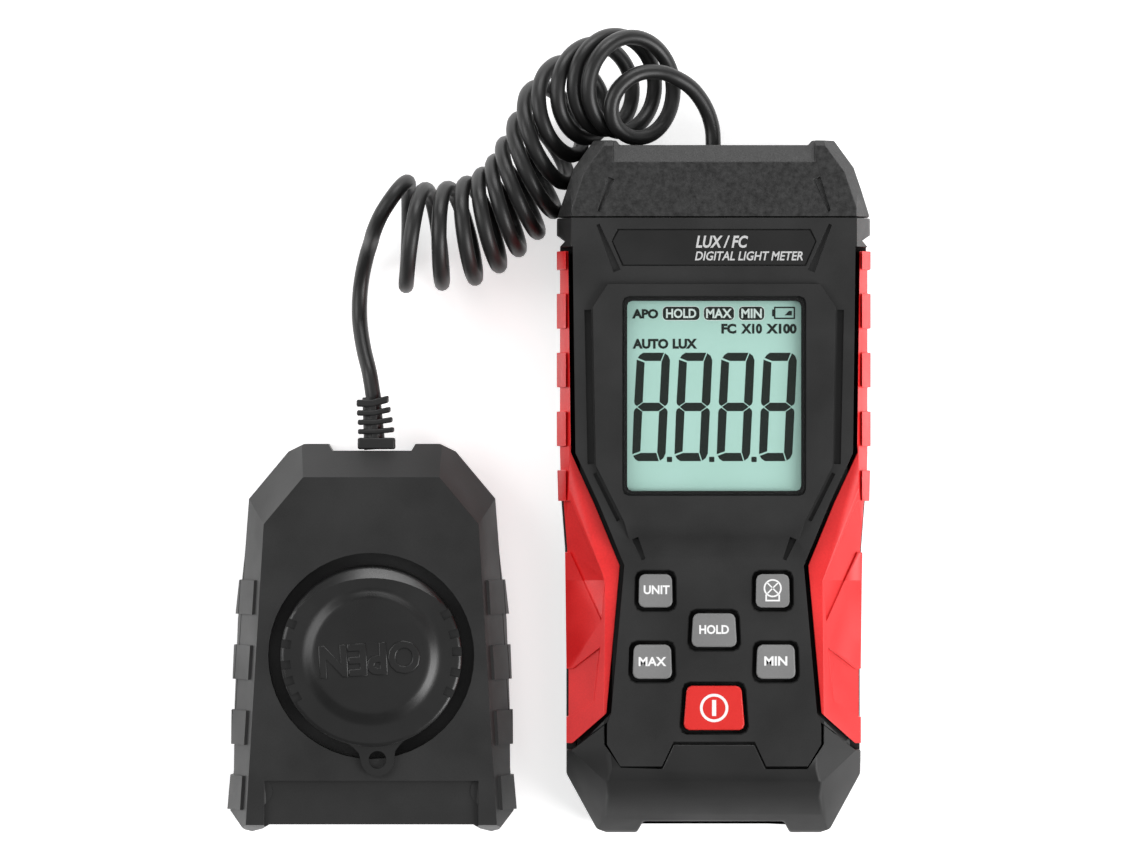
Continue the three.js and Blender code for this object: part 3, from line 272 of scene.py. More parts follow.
# every second turn: the turn's foot and head seen from above, its lean, and its middle's height
TURN_KEYS = [
    ((-0.0676, 0.0443), (-0.0657, 0.0654), 0.0011, 0.0126),
    ((-0.0524, 0.0459), (-0.0562, 0.0662), 0.0018, 0.0137),
    ((-0.0428, 0.0522), (-0.0493, 0.0702), 0.0018, 0.0129),
    ((-0.0351, 0.0606), (-0.0446, 0.0780), 0.0022, 0.0127),
    ((-0.0307, 0.0731), (-0.0373, 0.0908), 0.0049, 0.0126),
    ((-0.0245, 0.0787), (-0.0232, 0.0988), 0.0075, 0.0139),
    ((-0.0173, 0.0767), (-0.0153, 0.0986), 0.0086, 0.0190),
]


def through(points, share):
    """Point on a smooth curve through evenly spaced points, at a share of one step from the second."""
    a, b, c, d = (Vector(p) for p in points)
    s = share
    return (
        b * 2 + (c - a) * s + (a * 2 - b * 5 + c * 4 - d) * s**2 + (b * 3 - a - c * 3 + d) * s**3
    ) / 2


def smooth_line(points, step):
    """The points joined by a smooth curve, cut into even short lengths."""
    ends = [points[0] * 2 - points[1], *points, points[-1] * 2 - points[-2]]
    line = []
    for i in range(len(points) - 1):
        parts = max(1, round((points[i + 1] - points[i]).length / step))
        line += [through(ends[i : i + 4], j / parts) for j in range(parts)]
    return [*line, points[-1]]


def turn_at(turn):
    """The middle, half length, lean and height of the curls after some turns from the probe end."""
    rows = [Vector((*foot, *head, lean, high)) for foot, head, lean, high in TURN_KEYS]
    rows = [rows[0] * 2 - rows[1], *rows, rows[-1] * 2 - rows[-2]]
    i = min(max(int(turn / 2), 0), len(TURN_KEYS) - 2)
    row = through(rows[i : i + 4], turn / 2 - i)
    foot, head = Vector((row[0], row[1], 0)), Vector((row[2], row[3], 0))
    return foot, head, row[4], row[5]


def curl_point(turn):
    """Where the centreline is after some turns from the probe end."""
    foot, head, lean, height = turn_at(turn)
    middle = (foot + head) / 2
    reach = (head - foot) / 2
    along = Vector((reach.y, -reach.x, 0)).normalized()
    rise = math.sqrt(TURN_RADIUS**2 - lean**2)
    upward = Vector((0, 0, rise)) - along * lean
    angle = turn * math.tau
    return middle + Vector((0, 0, height)) - reach * math.cos(angle) + upward * math.sin(angle)


def cord_line():
    """The centreline from the probe to the meter."""
    probe = [Vector(p) for p in (INSIDE_RELIEF, *reversed(PROBE_LEAD))]
    steps = round((LAST_TURN - FIRST_TURN) * STEPS_PER_TURN)
    curls = [curl_point(FIRST_TURN + i / STEPS_PER_TURN) for i in range(steps + 1)]
    meter = [Vector(p) for p in (*reversed(METER_LEAD), INSIDE_METER)]
    return smooth_line(probe + curls + meter, CORD_STEP)


def evaluated_mesh(made):
    """The mesh of an object with its curve or its modifiers worked out."""
    bpy.context.view_layer.update()
    graph = bpy.context.evaluated_depsgraph_get()
    return bpy.data.meshes.new_from_object(made.evaluated_get(graph))


def tube_along(name, line, radius, sides=4):
    """A closed round tube along a line."""
    curve = bpy.data.curves.new(name, "CURVE")
    curve.dimensions = "3D"
    curve.bevel_depth = radius
    curve.bevel_resolution = sides
    curve.use_fill_caps = True
    spline = curve.splines.new("POLY")
    spline.points.add(len(line) - 1)
    for point, place in zip(spline.points, line):
        point.co = (*place, 1)
    made = put(name, curve)
    mesh = evaluated_mesh(made)
    bpy.data.objects.remove(made)
    bpy.data.curves.remove(curve)
    shape = bmesh.new()
    shape.from_mesh(mesh)
    bmesh.ops.remove_doubles(shape, verts=shape.verts, dist=0.001 * MM)
    bmesh.ops.recalc_face_normals(shape, faces=shape.faces)
    shape.to_mesh(mesh)
    shape.free()
    mesh.name = name
    mesh.shade_smooth()
    return put(name, mesh)


def make_cord():
    line = cord_line()
    cord = tube_along("curly_cord", line, CORD_RADIUS)
    cord.data.materials.append(MATERIALS["cord"])
    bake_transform(cord)
    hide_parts("cord_coil", "cord_lead_meter", "cord_lead_probe")


make_cord()


# ---- moulded pieces -------------------------------------------------------------------------

def merged_copy(name):
    """A CAD piece's shape with its loose triangles joined and its flat faces made whole."""
    shape = bmesh.new()
    shape.from_mesh(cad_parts[name].data)
    bmesh.ops.remove_doubles(shape, verts=shape.verts, dist=0.004 * MM)
    bmesh.ops.dissolve_limit(
        shape, angle_limit=math.radians(0.1), verts=shape.verts, edges=shape.edges,
        use_dissolve_boundaries=False, delimit=set(),
    )
    return shape


def roomy(corner, width):
    """Whether every edge at a corner is long enough for a rounding of a width."""
    return min(e.calc_length() for e in corner.link_edges) > 1.3 * width


def broad(face, width):
    """Whether a face is wide enough for a rounding of a width along its sides."""
    return face.calc_area() > 0.6 * width * face.calc_perimeter()


def ease_edges(shape, width, turn=24):
    """Rounds the edges that turn by more than an angle and have room for it on both sides."""
    edges = [
        e for e in shape.edges
        if len(e.link_faces) == 2
        and e.calc_face_angle(0) > math.radians(turn)
        and all(roomy(v, width) for v in e.verts)
        and all(broad(f, width) for f in e.link_faces)
    ]
    bmesh.ops.bevel(
        shape, geom=edges, affect="EDGES", offset_type="OFFSET", offset=width, segments=2,
        profile=0.5, material=-1, clamp_overlap=True, loop_slide=True,
    )


def finish_piece(name, shape, material, body, stands_for, soft_angle=32):
    """Makes a shape a visible piece with level faces that rides a body and stands for CAD nodes."""
    mesh = bpy.data.meshes.new(name)
    shape.to_mesh(mesh)
    shape.free()
    mesh.materials.append(MATERIALS[material])
    mesh.shade_smooth()
    mesh.set_sharp_from_angle(angle=math.radians(soft_angle))
    made = put(name, mesh)
    level = made.modifiers.new("level_faces", "WEIGHTED_NORMAL")
    level.keep_sharp = True
    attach(made, body)
    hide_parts(*stands_for)
    return made


# piece, material, edge radius in millimetres, body, slot
MOULDINGS = [
    ("front_shell", "abs", 0.25, "meter", "case_plastic"),
    ("rear_shell", "abs", 0.25, "meter", "case_plastic"),
    ("top_cap", "cap_abs", 0.3, "meter", "cap_plastic"),
    ("bottom_bumper", "bumper", 0.4, "meter", "bumper_rubber"),
    ("grip_left", "red", 0.3, "meter", "grip_rubber"),
    ("grip_right", "red", 0.3, "meter", "grip_rubber"),
    ("battery_door", "abs", 0.2, "battery_cover", "case_plastic"),
    ("probe_front_shell", "abs", 0.3, "probe", "case_plastic"),
    ("probe_rear_shell", "abs", 0.25, "probe", "case_plastic"),
]
for word in ("unit", "lamp", "hold", "max", "min"):
    MOULDINGS.append((f"key_{word}", "key", 0.35, f"{word}_button", "key_grey"))
MOULDINGS.append(("key_power", "key_red", 0.4, "power_button", "key_red"))
GAP_SHADE_DROP = 1.2 * MM  # from a key's top to where the painted black shade of its gap begins


def darken_skirt(mesh):
    """Paints a key black below the part that a finger touches, as painted shade in the gap round it."""
    top = max(v.co.z for v in mesh.vertices)
    mesh.materials.append(MATERIALS["skirt"])
    for face in mesh.polygons:
        face.material_index = int(face.center.z < top - GAP_SHADE_DROP)


def make_mouldings():
    for name, material, radius, body, slot in MOULDINGS:
        shape = merged_copy(name)
        ease_edges(shape, radius * MM)
        made = finish_piece(name + "_moulding", shape, material, body, [name])
        # keys get painted shade, black, below the panel
        if name.startswith("key_"):
            darken_skirt(made.data)


# turned and formed pieces that only need their round faces smoothed: material, body, slot
ROUND_PIECES = {
    "cord_grommet": ("relief", "meter", "cord_rubber"),
    "battery_screw": ("zinc", "cover_screw", "screw_steel"),
    "diffuser_dome": ("opal", "probe", "diffuser_plastic"),
    "diffuser_ring": ("abs", "probe", "case_plastic"),
    "colour_filter": ("filter", "probe", "filter_glass"),
}
for number in (1, 2, 3):
    ROUND_PIECES[f"battery_{number}"] = ("battery", "meter", "battery_sleeve")
for number in (1, 2, 3, 4):
    ROUND_PIECES[f"case_screw_{number}"] = ("zinc", "meter", "screw_steel")
    ROUND_PIECES[f"probe_screw_{number}"] = ("zinc", "probe", "screw_steel")


def make_round_pieces():
    for name, (material, body, slot) in ROUND_PIECES.items():
        finish_piece(name + "_turned", merged_copy(name), material, body, [name], 35)


# flat pieces that are shown as they are
PLAIN = {
    "name_plate": "plate", "lcd_window": "window", "lcd_frame": "abs", "lcd_panel": "lcd",
    "backlight_panel": "light_guide", "zebra_strip": "zebra", "main_pcb": "board",
    "mcu_chip": "chip", "keypad_mat": "mat", "photodiode": "silicon", "probe_pcb": "board",
    "battery_plate_1": "nickel", "battery_plate_2": "nickel", "battery_plate_3": "nickel",
}


def dress_plain_pieces():
    for name, look in PLAIN.items():
        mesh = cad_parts[name].data
        mesh.materials.clear()
        mesh.materials.append(MATERIALS[look])


SPRING_WIRE = 0.3 * MM
SPRING_COILS = 4.5
SPRING_STEPS = 81


def make_battery_springs():
    """Conical springs, wide where they stand on the bay's end wall."""
    for number in (1, 2, 3):
        name = f"battery_spring_{number}"
        low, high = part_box(name)
        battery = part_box(f"battery_{number}")
        middle = (low + high) / 2
        towards = 1 if (battery[0].y + battery[1].y) / 2 > middle.y else -1
        wide = (high.x - low.x) / 2 - SPRING_WIRE
        tall = (high.y - low.y) - 2 * SPRING_WIRE
        line = []
        for i in range(SPRING_STEPS + 1):
            share = i / SPRING_STEPS
            angle = share * SPRING_COILS * math.tau
            radius = wide * (1 - 0.5 * share)
            along = middle.y + towards * tall * (share - 0.5)
            across = middle.x + radius * math.cos(angle)
            line.append(Vector((across, along, middle.z + radius * math.sin(angle))))
        made = tube_along(name + "_wire", line, SPRING_WIRE, sides=2)
        made.data.materials.append(MATERIALS["nickel"])
        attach(made, "meter")
        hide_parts(name)


# ---- flat marks -----------------------------------------------------------------------------

PRINT = 0.02 * MM  # thickness of a printed mark


def raise_slab(shape, faces, thick):
    """Gives flat faces a thickness, and closes their sides."""
    lifted = bmesh.ops.extrude_face_region(shape, geom=faces)["geom"]
    corners = [v for v in lifted if isinstance(v, bmesh.types.BMVert)]
    bmesh.ops.translate(shape, verts=corners, vec=(0, 0, thick))


def add_slab(shape, outline, base, thick, grow=0.0):
    """Adds a thin slab with an outline, standing at a height and grown all round."""
    face = shape.faces.new([shape.verts.new((x, y, base)) for x, y in outline])
    faces = [face]
    if grow:
        border = bmesh.ops.inset_region(
            shape, faces=faces, thickness=grow, use_outset=True, use_boundary=True, use_even_offset=True,
        )
        faces += border["faces"]
    raise_slab(shape, faces, thick)


def add_band(shape, outer, inner, base, thick):
    """Adds a thin slab between two outlines that have as many points."""
    rings = [[shape.verts.new((x, y, base)) for x, y in line] for line in (outer, inner)]
    count = len(outer)
    faces = []
    for i in range(count):
        after = (i + 1) % count
        faces.append(shape.faces.new([rings[0][i], rings[0][after], rings[1][after], rings[1][i]]))
    raise_slab(shape, faces, thick)


def rounded(left, right, low, high, corner, steps=6):
    """Outline of a rectangle with round corners."""
    outline = []
    centres = [
        (right - corner, high - corner), (left + corner, high - corner),
        (left + corner, low + corner), (right - corner, low + corner),
    ]
    for quarter, (x, y) in enumerate(centres):
        for step in range(steps + 1):
            angle = (quarter + step / steps) * math.pi / 2
            outline.append((x + corner * math.cos(angle), y + corner * math.sin(angle)))
    return outline


def circle(x, y, radius, count=48):
    """Outline of a circle."""
    angles = [i * math.tau / count for i in range(count)]
    return [(x + radius * math.cos(a), y + radius * math.sin(a)) for a in angles]


def add_word(shape, text, area, base, thick, weight=0.012, slant=0.0, turn=0.0, slope=0.0):
    """Adds lettering that fills an area (left, right, low, high), turned about the area's middle."""
    left, right, low, high = area
    curve = bpy.data.curves.new("lettering", "FONT")
    curve.body = text
    curve.resolution_u = 3
    curve.offset = weight
    curve.shear = slant
    curve.bevel_depth = slope
    curve.extrude = 0.5 if slope == 0 else slope / 4
    made = put("lettering", curve)
    mesh = evaluated_mesh(made)
    bpy.data.objects.remove(made)
    bpy.data.curves.remove(curve)
    xs = [v.co.x for v in mesh.vertices]
    ys = [v.co.y for v in mesh.vertices]
    deep = 2 * max(v.co.z for v in mesh.vertices)
    centred = Matrix.Translation((-(min(xs) + max(xs)) / 2, -(min(ys) + max(ys)) / 2, 0))
    fitted = Matrix.Diagonal(
        ((right - left) / (max(xs) - min(xs)), (high - low) / (max(ys) - min(ys)), thick / deep, 1)
    )
    placed = Matrix.Translation(((left + right) / 2, (low + high) / 2, base + thick / 2))
    mesh.transform(placed @ Matrix.Rotation(turn, 4, "Z") @ fitted @ centred)
    shape.from_mesh(mesh)
    bpy.data.meshes.remove(mesh)


def finish_marks(name, shape, material, body):
    """Makes thin slabs or letters a visible piece that rides a body."""
    bmesh.ops.remove_doubles(shape, verts=shape.verts, dist=0.001 * MM)
    bmesh.ops.recalc_face_normals(shape, faces=shape.faces)
    mesh = bpy.data.meshes.new(name)
    shape.to_mesh(mesh)
    shape.free()
    mesh.materials.append(MATERIALS[material])
    made = put(name, mesh)
    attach(made, body)


def shifted(outline, x, y):
    """An outline in millimetres moved to a place in metres."""
    return [(x + px * MM, y + py * MM) for px, py in outline]


def area_at(x, y, left, right, low, high):
    """An area in millimetres moved to a place in metres."""
    return (x + left * MM, x + right * MM, y + low * MM, y + high * MM)


# ---- display --------------------------------------------------------------------------------

DIGIT_PLACES = [-18.07, -8.83, 0.41, 9.65]  # left foot of each digit, from the window's middle
DIGIT_FOOT = -14.3
DIGIT_MIDDLE = 11.9
DIGIT_SLANT = 0.048
RIM = 0.14  # pale line round each dark segment
# the upper segments, from the digit's left side and its middle height
UPPER_SEGMENTS = [
    [(0.32, 10.7), (0.72, 11.35), (1.45, 11.85), (5.98, 11.85), (5.35, 10.05), (1.98, 10.05)],
    [(0.1, 10.35), (0.0, 1.1), (0.15, 0.55), (0.62, 0.18), (1.85, 1.05), (1.85, 9.7)],
    [
        (6.22, 11.75), (6.95, 11.2), (7.38, 10.2), (7.4, 1.1), (7.2, 0.55), (6.72, 0.18),
        (5.52, 1.05), (5.55, 9.9),
    ],
]
MIDDLE_SEGMENT = [(0.76, 0.0), (1.95, 0.92), (5.42, 0.92), (6.6, 0.0), (5.36, -0.92), (1.9, -0.92)]
POINT_PLACE = (7.75, -0.15)
POINT_SIZE = 1.15

# words and their areas, from the window's middle
DARK_WORDS = [
    ("APO", -17.9, -12.2, 16.9, 19.0), ("FC", 1.6, 4.85, 13.6, 15.8), ("X10", 5.9, 10.5, 13.6, 15.8),
    ("X100", 11.4, 18.05, 13.6, 15.8), ("AUTO", -17.8, -10.0, 10.3, 12.5), ("LUX", -9.05, -3.7, 10.3, 12.5),
]
BOXED_WORDS = [
    ("HOLD", -11.2, -3.2, 0.7), ("MAX", -2.2, 4.35, 0.45), ("MIN", 5.45, 10.95, 0.5),
]
BOX_LOW, BOX_HIGH = 16.6, 19.5
BOX_CORNER = 0.9
BOX_MARGIN = 0.42  # above and below a boxed word
BATTERY_CASE = (13.1, 17.7, 16.8, 19.5)
BATTERY_LINE = 0.32
BATTERY_TIP = [(12.7, 17.4), (13.1, 17.4), (13.1, 18.9), (12.7, 18.9)]
BATTERY_CHARGE = [(15.4, 17.6), (17.0, 17.6), (17.0, 18.6), (16.4, 18.6)]
DARK_BAND_INSET = 0.02  # of the painted shade band from the pane's edge
DARK_BAND_WIDTH = 0.8


def segment_outlines():
    """Every dark shape of the four digits and their points, in millimetres."""
    lower = [[(x, -y) for x, y in outline] for outline in UPPER_SEGMENTS]
    segments = UPPER_SEGMENTS + lower + [MIDDLE_SEGMENT]
    outlines = []
    for i, place in enumerate(DIGIT_PLACES):
        for outline in segments:
            outlines.append([
                (place + x + (y + DIGIT_MIDDLE) * DIGIT_SLANT, DIGIT_FOOT + DIGIT_MIDDLE + y)
                for x, y in outline
            ])
        if i < len(DIGIT_PLACES) - 1:
            x, y = place + POINT_PLACE[0], DIGIT_FOOT + POINT_PLACE[1]
            outlines.append(rounded(x, x + POINT_SIZE, y, y + POINT_SIZE, 0.15, 2))
    return outlines


def add_battery_symbol(shape, x, y, base):
    """An empty cell's outline with its tip and a wedge of charge."""
    left, right, low, high = BATTERY_CASE
    cell = rounded(left, right, low, high, 0.1, 1)
    hollow = rounded(
        left + BATTERY_LINE, right - BATTERY_LINE, low + BATTERY_LINE, high - BATTERY_LINE, 0.05, 1,
    )
    add_band(shape, shifted(cell, x, y), shifted(hollow, x, y), base, PRINT)
    add_slab(shape, shifted(BATTERY_TIP, x, y), base, PRINT)
    add_slab(shape, shifted(BATTERY_CHARGE, x, y), base, PRINT)


def make_display():
    """The dark segments and words on the glass, their pale rims, and the pale words in boxes."""
    low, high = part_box("lcd_window")
    x, y = (low.x + high.x) / 2, (low.y + high.y) / 2
    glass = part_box("lcd_panel")[1].z
    rims = bmesh.new()
    darks = bmesh.new()
    pales = bmesh.new()
    for outline in segment_outlines():
        add_slab(rims, shifted(outline, x, y), glass, PRINT, RIM * MM)
        add_slab(darks, shifted(outline, x, y), glass + PRINT, PRINT)
    for text, *area in DARK_WORDS:
        add_word(darks, text, area_at(x, y, *area), glass + PRINT, PRINT, weight=0.05)
    for text, left, right, inset in BOXED_WORDS:
        box = rounded(left, right, BOX_LOW, BOX_HIGH, BOX_CORNER)
        edge = rounded(left - RIM, right + RIM, BOX_LOW - RIM, BOX_HIGH + RIM, BOX_CORNER + RIM)
        add_slab(rims, shifted(edge, x, y), glass, PRINT)
        add_slab(darks, shifted(box, x, y), glass + PRINT, PRINT)
        area = (left + inset, right - inset, BOX_LOW + BOX_MARGIN, BOX_HIGH - BOX_MARGIN)
        add_word(pales, text, area_at(x, y, *area), glass + 2 * PRINT, PRINT, weight=0.03)
    add_battery_symbol(darks, x, y, glass + PRINT)
    finish_marks("lcd_segment_rims", rims, "rim", "meter")
    finish_marks("lcd_segments", darks, "segment", "meter")
    finish_marks("lcd_boxed_words", pales, "rim", "meter")


def make_window_dark_band():
    """A black band under the pane's edge, painted shade for the dark gap round the display."""
    low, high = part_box("lcd_window")
    x, y = (low.x + high.x) / 2, (low.y + high.y) / 2
    wide, long = (high.x - low.x) / 2 / MM, (high.y - low.y) / 2 / MM
    rings = []
    for inset, corner in ((DARK_BAND_INSET, 1.35), (DARK_BAND_WIDTH, 1.1)):
        ring = rounded(-wide + inset, wide - inset, -long + inset, long - inset, corner)
        rings.append(shifted(ring, x, y))
    border = bmesh.new()
    add_band(border, *rings, low.z - 3 * PRINT, PRINT)
    finish_marks("lcd_edge_painted_shade", border, "mask", "meter")


# ---- legends --------------------------------------------------------------------------------

# each key's word and its area from the key's middle
KEY_WORDS = {
    "unit": (-2.6, 3.1, -0.75, 1.2),
    "hold": (-3.25, 3.25, -0.85, 1.15),
    "max": (-3.0, 3.05, -0.95, 1.05),
    "min": (-2.55, 2.5, -0.85, 1.2),
}
LAMP_RISE = 0.58  # of the lamp's circle above the key's middle
LAMP_BAR = [(-1.68, -0.15), (1.68, -0.15), (1.68, 0.15), (-1.68, 0.15)]
LAMP_SOCKET = [
    (-1.6, -0.75), (-1.6, -2.3), (1.6, -2.3), (1.6, -0.75),
    (1.25, -0.95), (1.25, -1.95), (-1.25, -1.95), (-1.25, -0.95),
]
DIAGONAL = 0.7071  # sine and cosine of 45 degrees


def add_ring(shape, x, y, rise, outer, inner, base, count=48):
    """Adds a thin ring between two radii, in millimetres, above a place."""
    lines = [shifted(circle(0, rise, radius, count), x, y) for radius in (outer, inner)]
    add_band(shape, *lines, base, PRINT)


def key_place(key):
    """The middle of a key's top, and the top's height."""
    low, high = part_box(key)
    return (low.x + high.x) / 2, (low.y + high.y) / 2, high.z


def make_key_legends():
    for word, area in KEY_WORDS.items():
        x, y, top = key_place(f"key_{word}")
        ink = bmesh.new()
        add_word(ink, word.upper(), area_at(x, y, *area), top, PRINT, weight=0.03)
        finish_marks(f"key_{word}_legend", ink, "ink", f"{word}_button")


def make_lamp_symbol():
    """A lamp: a crossed circle on a socket."""
    x, y, top = key_place("key_lamp")
    ink = bmesh.new()
    add_ring(ink, x, y, LAMP_RISE, 1.98, 1.63, top)
    for side in (-1, 1):
        turned = [
            ((px - side * py) * DIAGONAL, (side * px + py) * DIAGONAL + LAMP_RISE)
            for px, py in LAMP_BAR
        ]
        add_slab(ink, shifted(turned, x, y), top, PRINT)
    add_slab(ink, shifted(LAMP_SOCKET, x, y), top, PRINT)
    finish_marks("key_lamp_symbol", ink, "ink", "lamp_button")


def make_power_symbol():
    """A ring round an upright bar."""
    x, y, top = key_place("key_power")
    ink = bmesh.new()
    add_ring(ink, x, y, 0, 3.1, 2.5, top, 64)
    add_slab(ink, shifted(rounded(-0.45, 0.45, -1.75, 1.75, 0.05, 1), x, y), top, PRINT)
    finish_marks("key_power_symbol", ink, "ink", "power_button")


# word, its area from the plate's middle and its stroke weight
PLATE_WORDS = [
    ("LUX / FC", (-4.0, 7.4, -0.1, 2.6), 0.028),
    ("DIGITAL LIGHT METER", (-4.2, 19.4, -2.85, -0.85), 0.018),
]
PLATE_SLANT = 0.22


def make_plate_words():
    low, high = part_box("name_plate")
    y = (low.y + high.y) / 2
    ink = bmesh.new()
    for text, area, weight in PLATE_WORDS:
        add_word(ink, text, area_at(0, y, *area), high.z, PRINT, weight, PLATE_SLANT)
    finish_marks("name_plate_words", ink, "ink_grey", "meter")


# ---- probe cap ------------------------------------------------------------------------------

CAP_RADIUS = 19.9
CAP_TILT = math.radians(3.5)
# half section of the cap, from the middle of its top round to the middle of its ceiling
CAP_SECTION = [
    (0.0, 25.2), (6.0, 25.2), (11.9, 25.2), (12.6, 25.15), (13.3, 24.92), (14.1, 24.46), (14.9, 24.12),
    (15.7, 24.0), (17.5, 24.0), (19.1, 24.0), (19.6, 23.8), (19.85, 23.5),
    (CAP_RADIUS, 23.1), (CAP_RADIUS, 17.0), (18.3, 17.0), (18.3, 21.6), (12.0, 22.6), (0.0, 22.6),
]
CREASE_RADIUS = 23.65  # of the finger scoop's edge
SCOOP_SIDE = math.radians(92.5)
SCOOP_OFFSET = 6.55
SCOOP_SLOPE = 0.7
SCOOP_START = 16  # radius and height from which the scoop moves the cap's corners
SCOOP_LOWEST = 21.8
SCOOP_RING = 18  # corners inside this radius follow the scoop's edge
NOTCH_ANGLES = [29, 15, 3, -11, -25, 158, 172, 186, 197, 209]
NOTCH_SIZE = (2.5, 1.9, 3.0)
NOTCH_PLACE = (19.0, 24.8)  # radius and height of a notch's middle
LUG_HOLE_REACH = 22.8
LUG_HOLE_RADIUS = 1.95
LUG_END_RADIUS = 3.6
LUG_SIDE = [(-6.6, -18.6), (-5.1, -19.8), (-4.0, -21.1)]
LUG_FOOT = 22.0
LUG_THICKNESS = 1.3
CAP_WORD_AREA = (-11.4, 10.8, -4.4, 3.0)
CAP_WORD_SUNK = 0.3 * MM


def spun(section, steps):
    """A solid turned about the Z axis from its half section."""
    shape = bmesh.new()
    corners = [shape.verts.new((r * MM, 0, z * MM)) for r, z in section]
    edges = [shape.edges.new(pair) for pair in zip(corners, corners[1:])]
    bmesh.ops.spin(
        shape, geom=corners + edges, cent=(0, 0, 0), axis=(0, 0, 1), steps=steps, angle=math.tau,
        use_merge=True,
    )
    bmesh.ops.remove_doubles(shape, verts=shape.verts, dist=0.001 * MM)
    bmesh.ops.recalc_face_normals(shape, faces=shape.faces)
    return shape


def scoop(shape):
    """Slopes the rim down on one side, outside a circle set off from the middle."""
    for corner in shape.verts:
        radius = corner.co.xy.length / MM
        if radius < SCOOP_START or corner.co.z < SCOOP_LOWEST * MM:
            continue
        turn = math.atan2(corner.co.y, corner.co.x) - SCOOP_SIDE
        beside = SCOOP_OFFSET * math.sin(turn)
        crease = math.sqrt(CREASE_RADIUS**2 - beside**2) - SCOOP_OFFSET * math.cos(turn)
        if radius < SCOOP_RING:
            corner.co.xy *= min(max(crease, SCOOP_START + 0.2), SCOOP_RING + 0.9) / radius
            continue
        along = radius + SCOOP_OFFSET * math.cos(turn)
        corner.co.z -= max(0, math.hypot(along, beside) - CREASE_RADIUS) * SCOOP_SLOPE * MM


def to_object(name, shape):
    """An object of a shape, faces out."""
    bmesh.ops.recalc_face_normals(shape, faces=shape.faces)
    mesh = bpy.data.meshes.new(name)
    shape.to_mesh(mesh)
    shape.free()
    return put(name, mesh)


def combined(base, tools):
    """The base shape joined with or cut by each tool in turn."""
    made = to_object("blank", base)
    helpers = [to_object("tool", shape) for shape, _ in tools]
    for helper, (_, kind) in zip(helpers, tools):
        step = made.modifiers.new("step", "BOOLEAN")
        step.object = helper
        step.operation = kind
        step.solver = "EXACT"
    mesh = evaluated_mesh(made)
    shape = bmesh.new()
    shape.from_mesh(mesh)
    for used in [made, *helpers]:
        bpy.data.objects.remove(used)
    return shape


def cap_lug():
    """A tab with a round end, for the cord that keeps the cap."""
    outline = list(LUG_SIDE)
    for step in range(13):
        angle = math.radians(194 + step * 152 / 12)
        x, y = LUG_END_RADIUS * math.cos(angle), LUG_END_RADIUS * math.sin(angle)
        outline.append((x, y - LUG_HOLE_REACH))
    outline += [(-x, y) for x, y in reversed(LUG_SIDE)]
    shape = bmesh.new()
    add_slab(shape, shifted(outline, 0, 0), LUG_FOOT * MM, LUG_THICKNESS * MM)
    bmesh.ops.rotate(shape, verts=shape.verts, cent=(0, 0, 0), matrix=Matrix.Rotation(CAP_TILT, 3, "Z"))
    return shape


def cap_cuts():
    """The lug's hole and the short slots that give a grip on the rim."""
    shape = bmesh.new()
    add_slab(shape, shifted(circle(0, -LUG_HOLE_REACH, LUG_HOLE_RADIUS, 40), 0, 0), 21 * MM, 4 * MM)
    bmesh.ops.rotate(shape, verts=shape.verts, cent=(0, 0, 0), matrix=Matrix.Rotation(CAP_TILT, 3, "Z"))
    for angle in NOTCH_ANGLES:
        turn = Matrix.Rotation(math.radians(angle), 4, "Z")
        size = Matrix.Diagonal((*(side * MM for side in NOTCH_SIZE), 1))
        place = Matrix.Translation((NOTCH_PLACE[0] * MM, 0, NOTCH_PLACE[1] * MM))
        bmesh.ops.create_cube(shape, size=1, matrix=turn @ place @ size)
    return shape


def make_probe_cap():
    """The dust cap over the sensor, and the word that stands up from its top."""
    low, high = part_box("diffuser_ring")
    place = Vector(((low.x + high.x) / 2, (low.y + high.y) / 2, 0))
    blank = spun(CAP_SECTION, 180)
    scoop(blank)
    shape = combined(blank, [(cap_lug(), "UNION"), (cap_cuts(), "DIFFERENCE")])
    bmesh.ops.translate(shape, verts=shape.verts, vec=place)
    finish_piece("probe_cap_moulding", shape, "cap_plain", "cap", ["probe_cap"], 30)
    word = bmesh.new()
    area = area_at(place.x, place.y, *CAP_WORD_AREA)
    foot = CAP_SECTION[0][1] * MM - CAP_WORD_SUNK
    add_word(word, "OPEN", area, foot, 2 * CAP_WORD_SUNK, turn=math.pi + CAP_TILT, slope=0.035)
    finish_marks("probe_cap_raised_word", word, "cap_plain", "cap")


# ---- strain relief --------------------------------------------------------------------------

# each rib's middle above the foot, thickness, width, shift to the left and rise of its right end
RELIEF_RIBS = [
    (3.9, 1.15, 7.95, 0.1, 0.44),
    (5.94, 1.2, 7.65, 0.3, 0.62),
    (8.0, 1.25, 7.4, 0.6, 0.8),
    (10.15, 1.6, 7.05, 0.85, 0.95),
]
RELIEF_DEPTH = 7.0
RELIEF_FOOT = 12.1  # below the CAD piece's end
RELIEF_FLANGE = (8.25, 2.57)  # width and length of the block at the probe
RELIEF_CORE_LENGTH = 11.6
RELIEF_CORE_LEAN = math.radians(4)
RELIEF_BAR = (1.35, 9.6)
RELIEF_BAR_LEAN = 0.085


def add_block(shape, x, y, z, wide, long, deep, edge):
    """Adds a block with rounded edges, in millimetres, and gives its corners."""
    size = Matrix.Diagonal((wide * MM, long * MM, deep * MM, 1))
    made = bmesh.ops.create_cube(shape, size=1, matrix=Matrix.Translation((x, y, z)) @ size)
    edges = {e for v in made["verts"] for e in v.link_edges}
    rounded_off = bmesh.ops.bevel(
        shape, geom=list(edges), affect="EDGES", offset_type="OFFSET", offset=edge * MM, segments=3,
        profile=0.5, material=-1,
    )
    return {v for f in rounded_off["faces"] for v in f.verts} | {v for v in made["verts"] if v.is_valid}


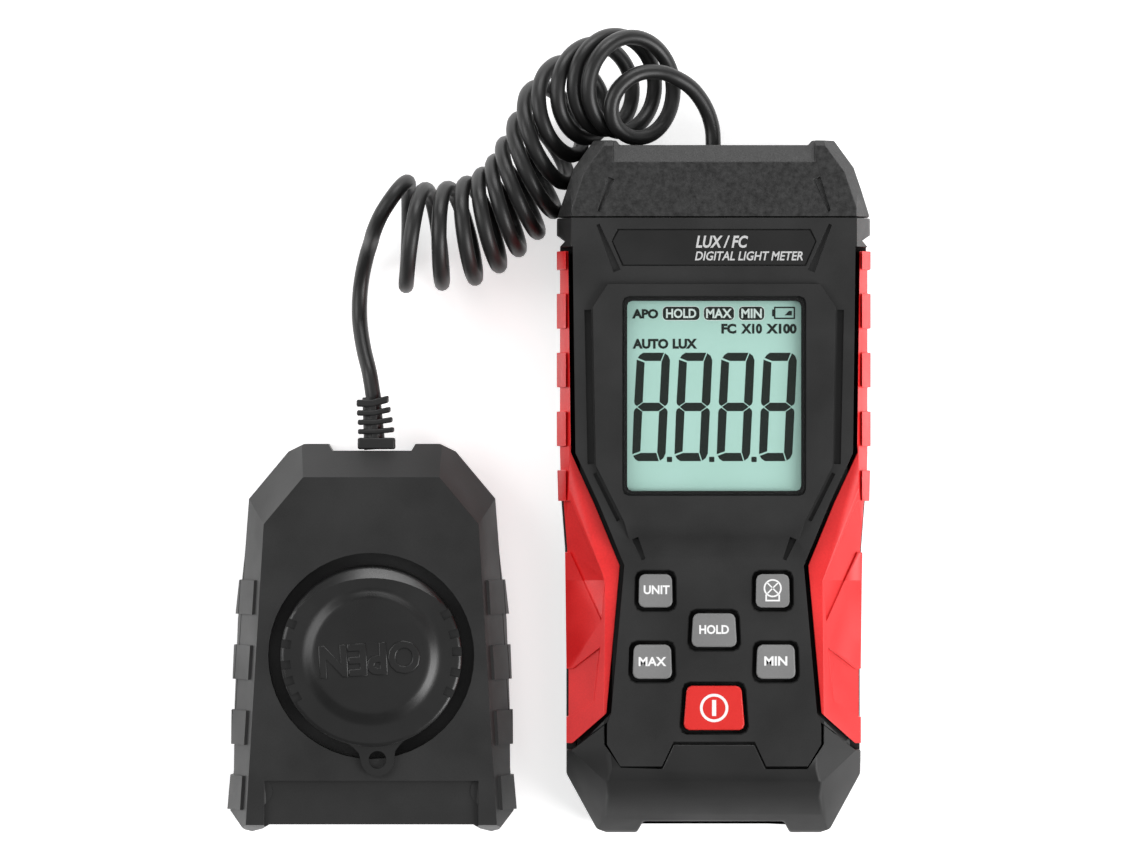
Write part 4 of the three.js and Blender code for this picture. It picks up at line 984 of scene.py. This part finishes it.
def make_strain_relief():
    """Soft ribs on a core, joined by one bar in front, bending with the cord."""
    low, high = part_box("probe_strain_relief")
    x, z = (low.x + high.x) / 2, (low.z + high.z) / 2
    foot = high.y - RELIEF_FOOT * MM
    shape = bmesh.new()
    add_block(shape, x, foot + 1.28 * MM, z, *RELIEF_FLANGE, RELIEF_DEPTH, 0.45)
    upright = Matrix.Rotation(math.radians(-90), 4, "X")
    core = Matrix.Translation((x - 0.35 * MM, foot + RELIEF_CORE_LENGTH / 2 * MM, z)) @ upright
    lean = Matrix.Rotation(RELIEF_CORE_LEAN, 4, "Z")
    turned = Matrix.Translation((x, foot, z)) @ lean @ Matrix.Translation((-x, -foot, -z)) @ core
    bmesh.ops.create_cone(
        shape, cap_ends=True, segments=28, radius1=2.4 * MM, radius2=2.0 * MM,
        depth=RELIEF_CORE_LENGTH * MM, matrix=turned,
    )
    bar = add_block(shape, x, foot + 5.8 * MM, z, *RELIEF_BAR, RELIEF_DEPTH - 0.5, 0.2)
    for corner in bar:
        corner.co.x -= RELIEF_BAR_LEAN * (corner.co.y - foot)
    for above, thick, wide, shift, rise in RELIEF_RIBS:
        middle = x - shift * MM
        corners = add_block(shape, middle, foot + above * MM, z, wide, thick, RELIEF_DEPTH, 0.4)
        seam = [v for v in corners if v.is_valid]
        faces = {f for v in seam for f in v.link_faces}
        edges = {e for v in seam for e in v.link_edges}
        cut = bmesh.ops.bisect_plane(
            shape, geom=seam + list(edges) + list(faces), dist=0.0001 * MM,
            plane_co=(middle, 0, 0), plane_no=(1, 0, 0),
        )
        moved = {g for g in cut["geom"] if isinstance(g, bmesh.types.BMVert)}
        for corner in moved:
            reach = max(0, corner.co.x - middle) / (wide / 2 * MM)
            corner.co.y += rise * MM * reach
    finish_piece(
        "strain_relief_moulding", shape, "relief", "probe", ["probe_strain_relief"], 40,
    )


make_mouldings()
make_round_pieces()
make_battery_springs()
dress_plain_pieces()
make_display()
# painted shade round the display, as a black band under the pane
make_window_dark_band()
make_key_legends()
make_lamp_symbol()
make_power_symbol()
make_plate_words()
make_probe_cap()
make_strain_relief()
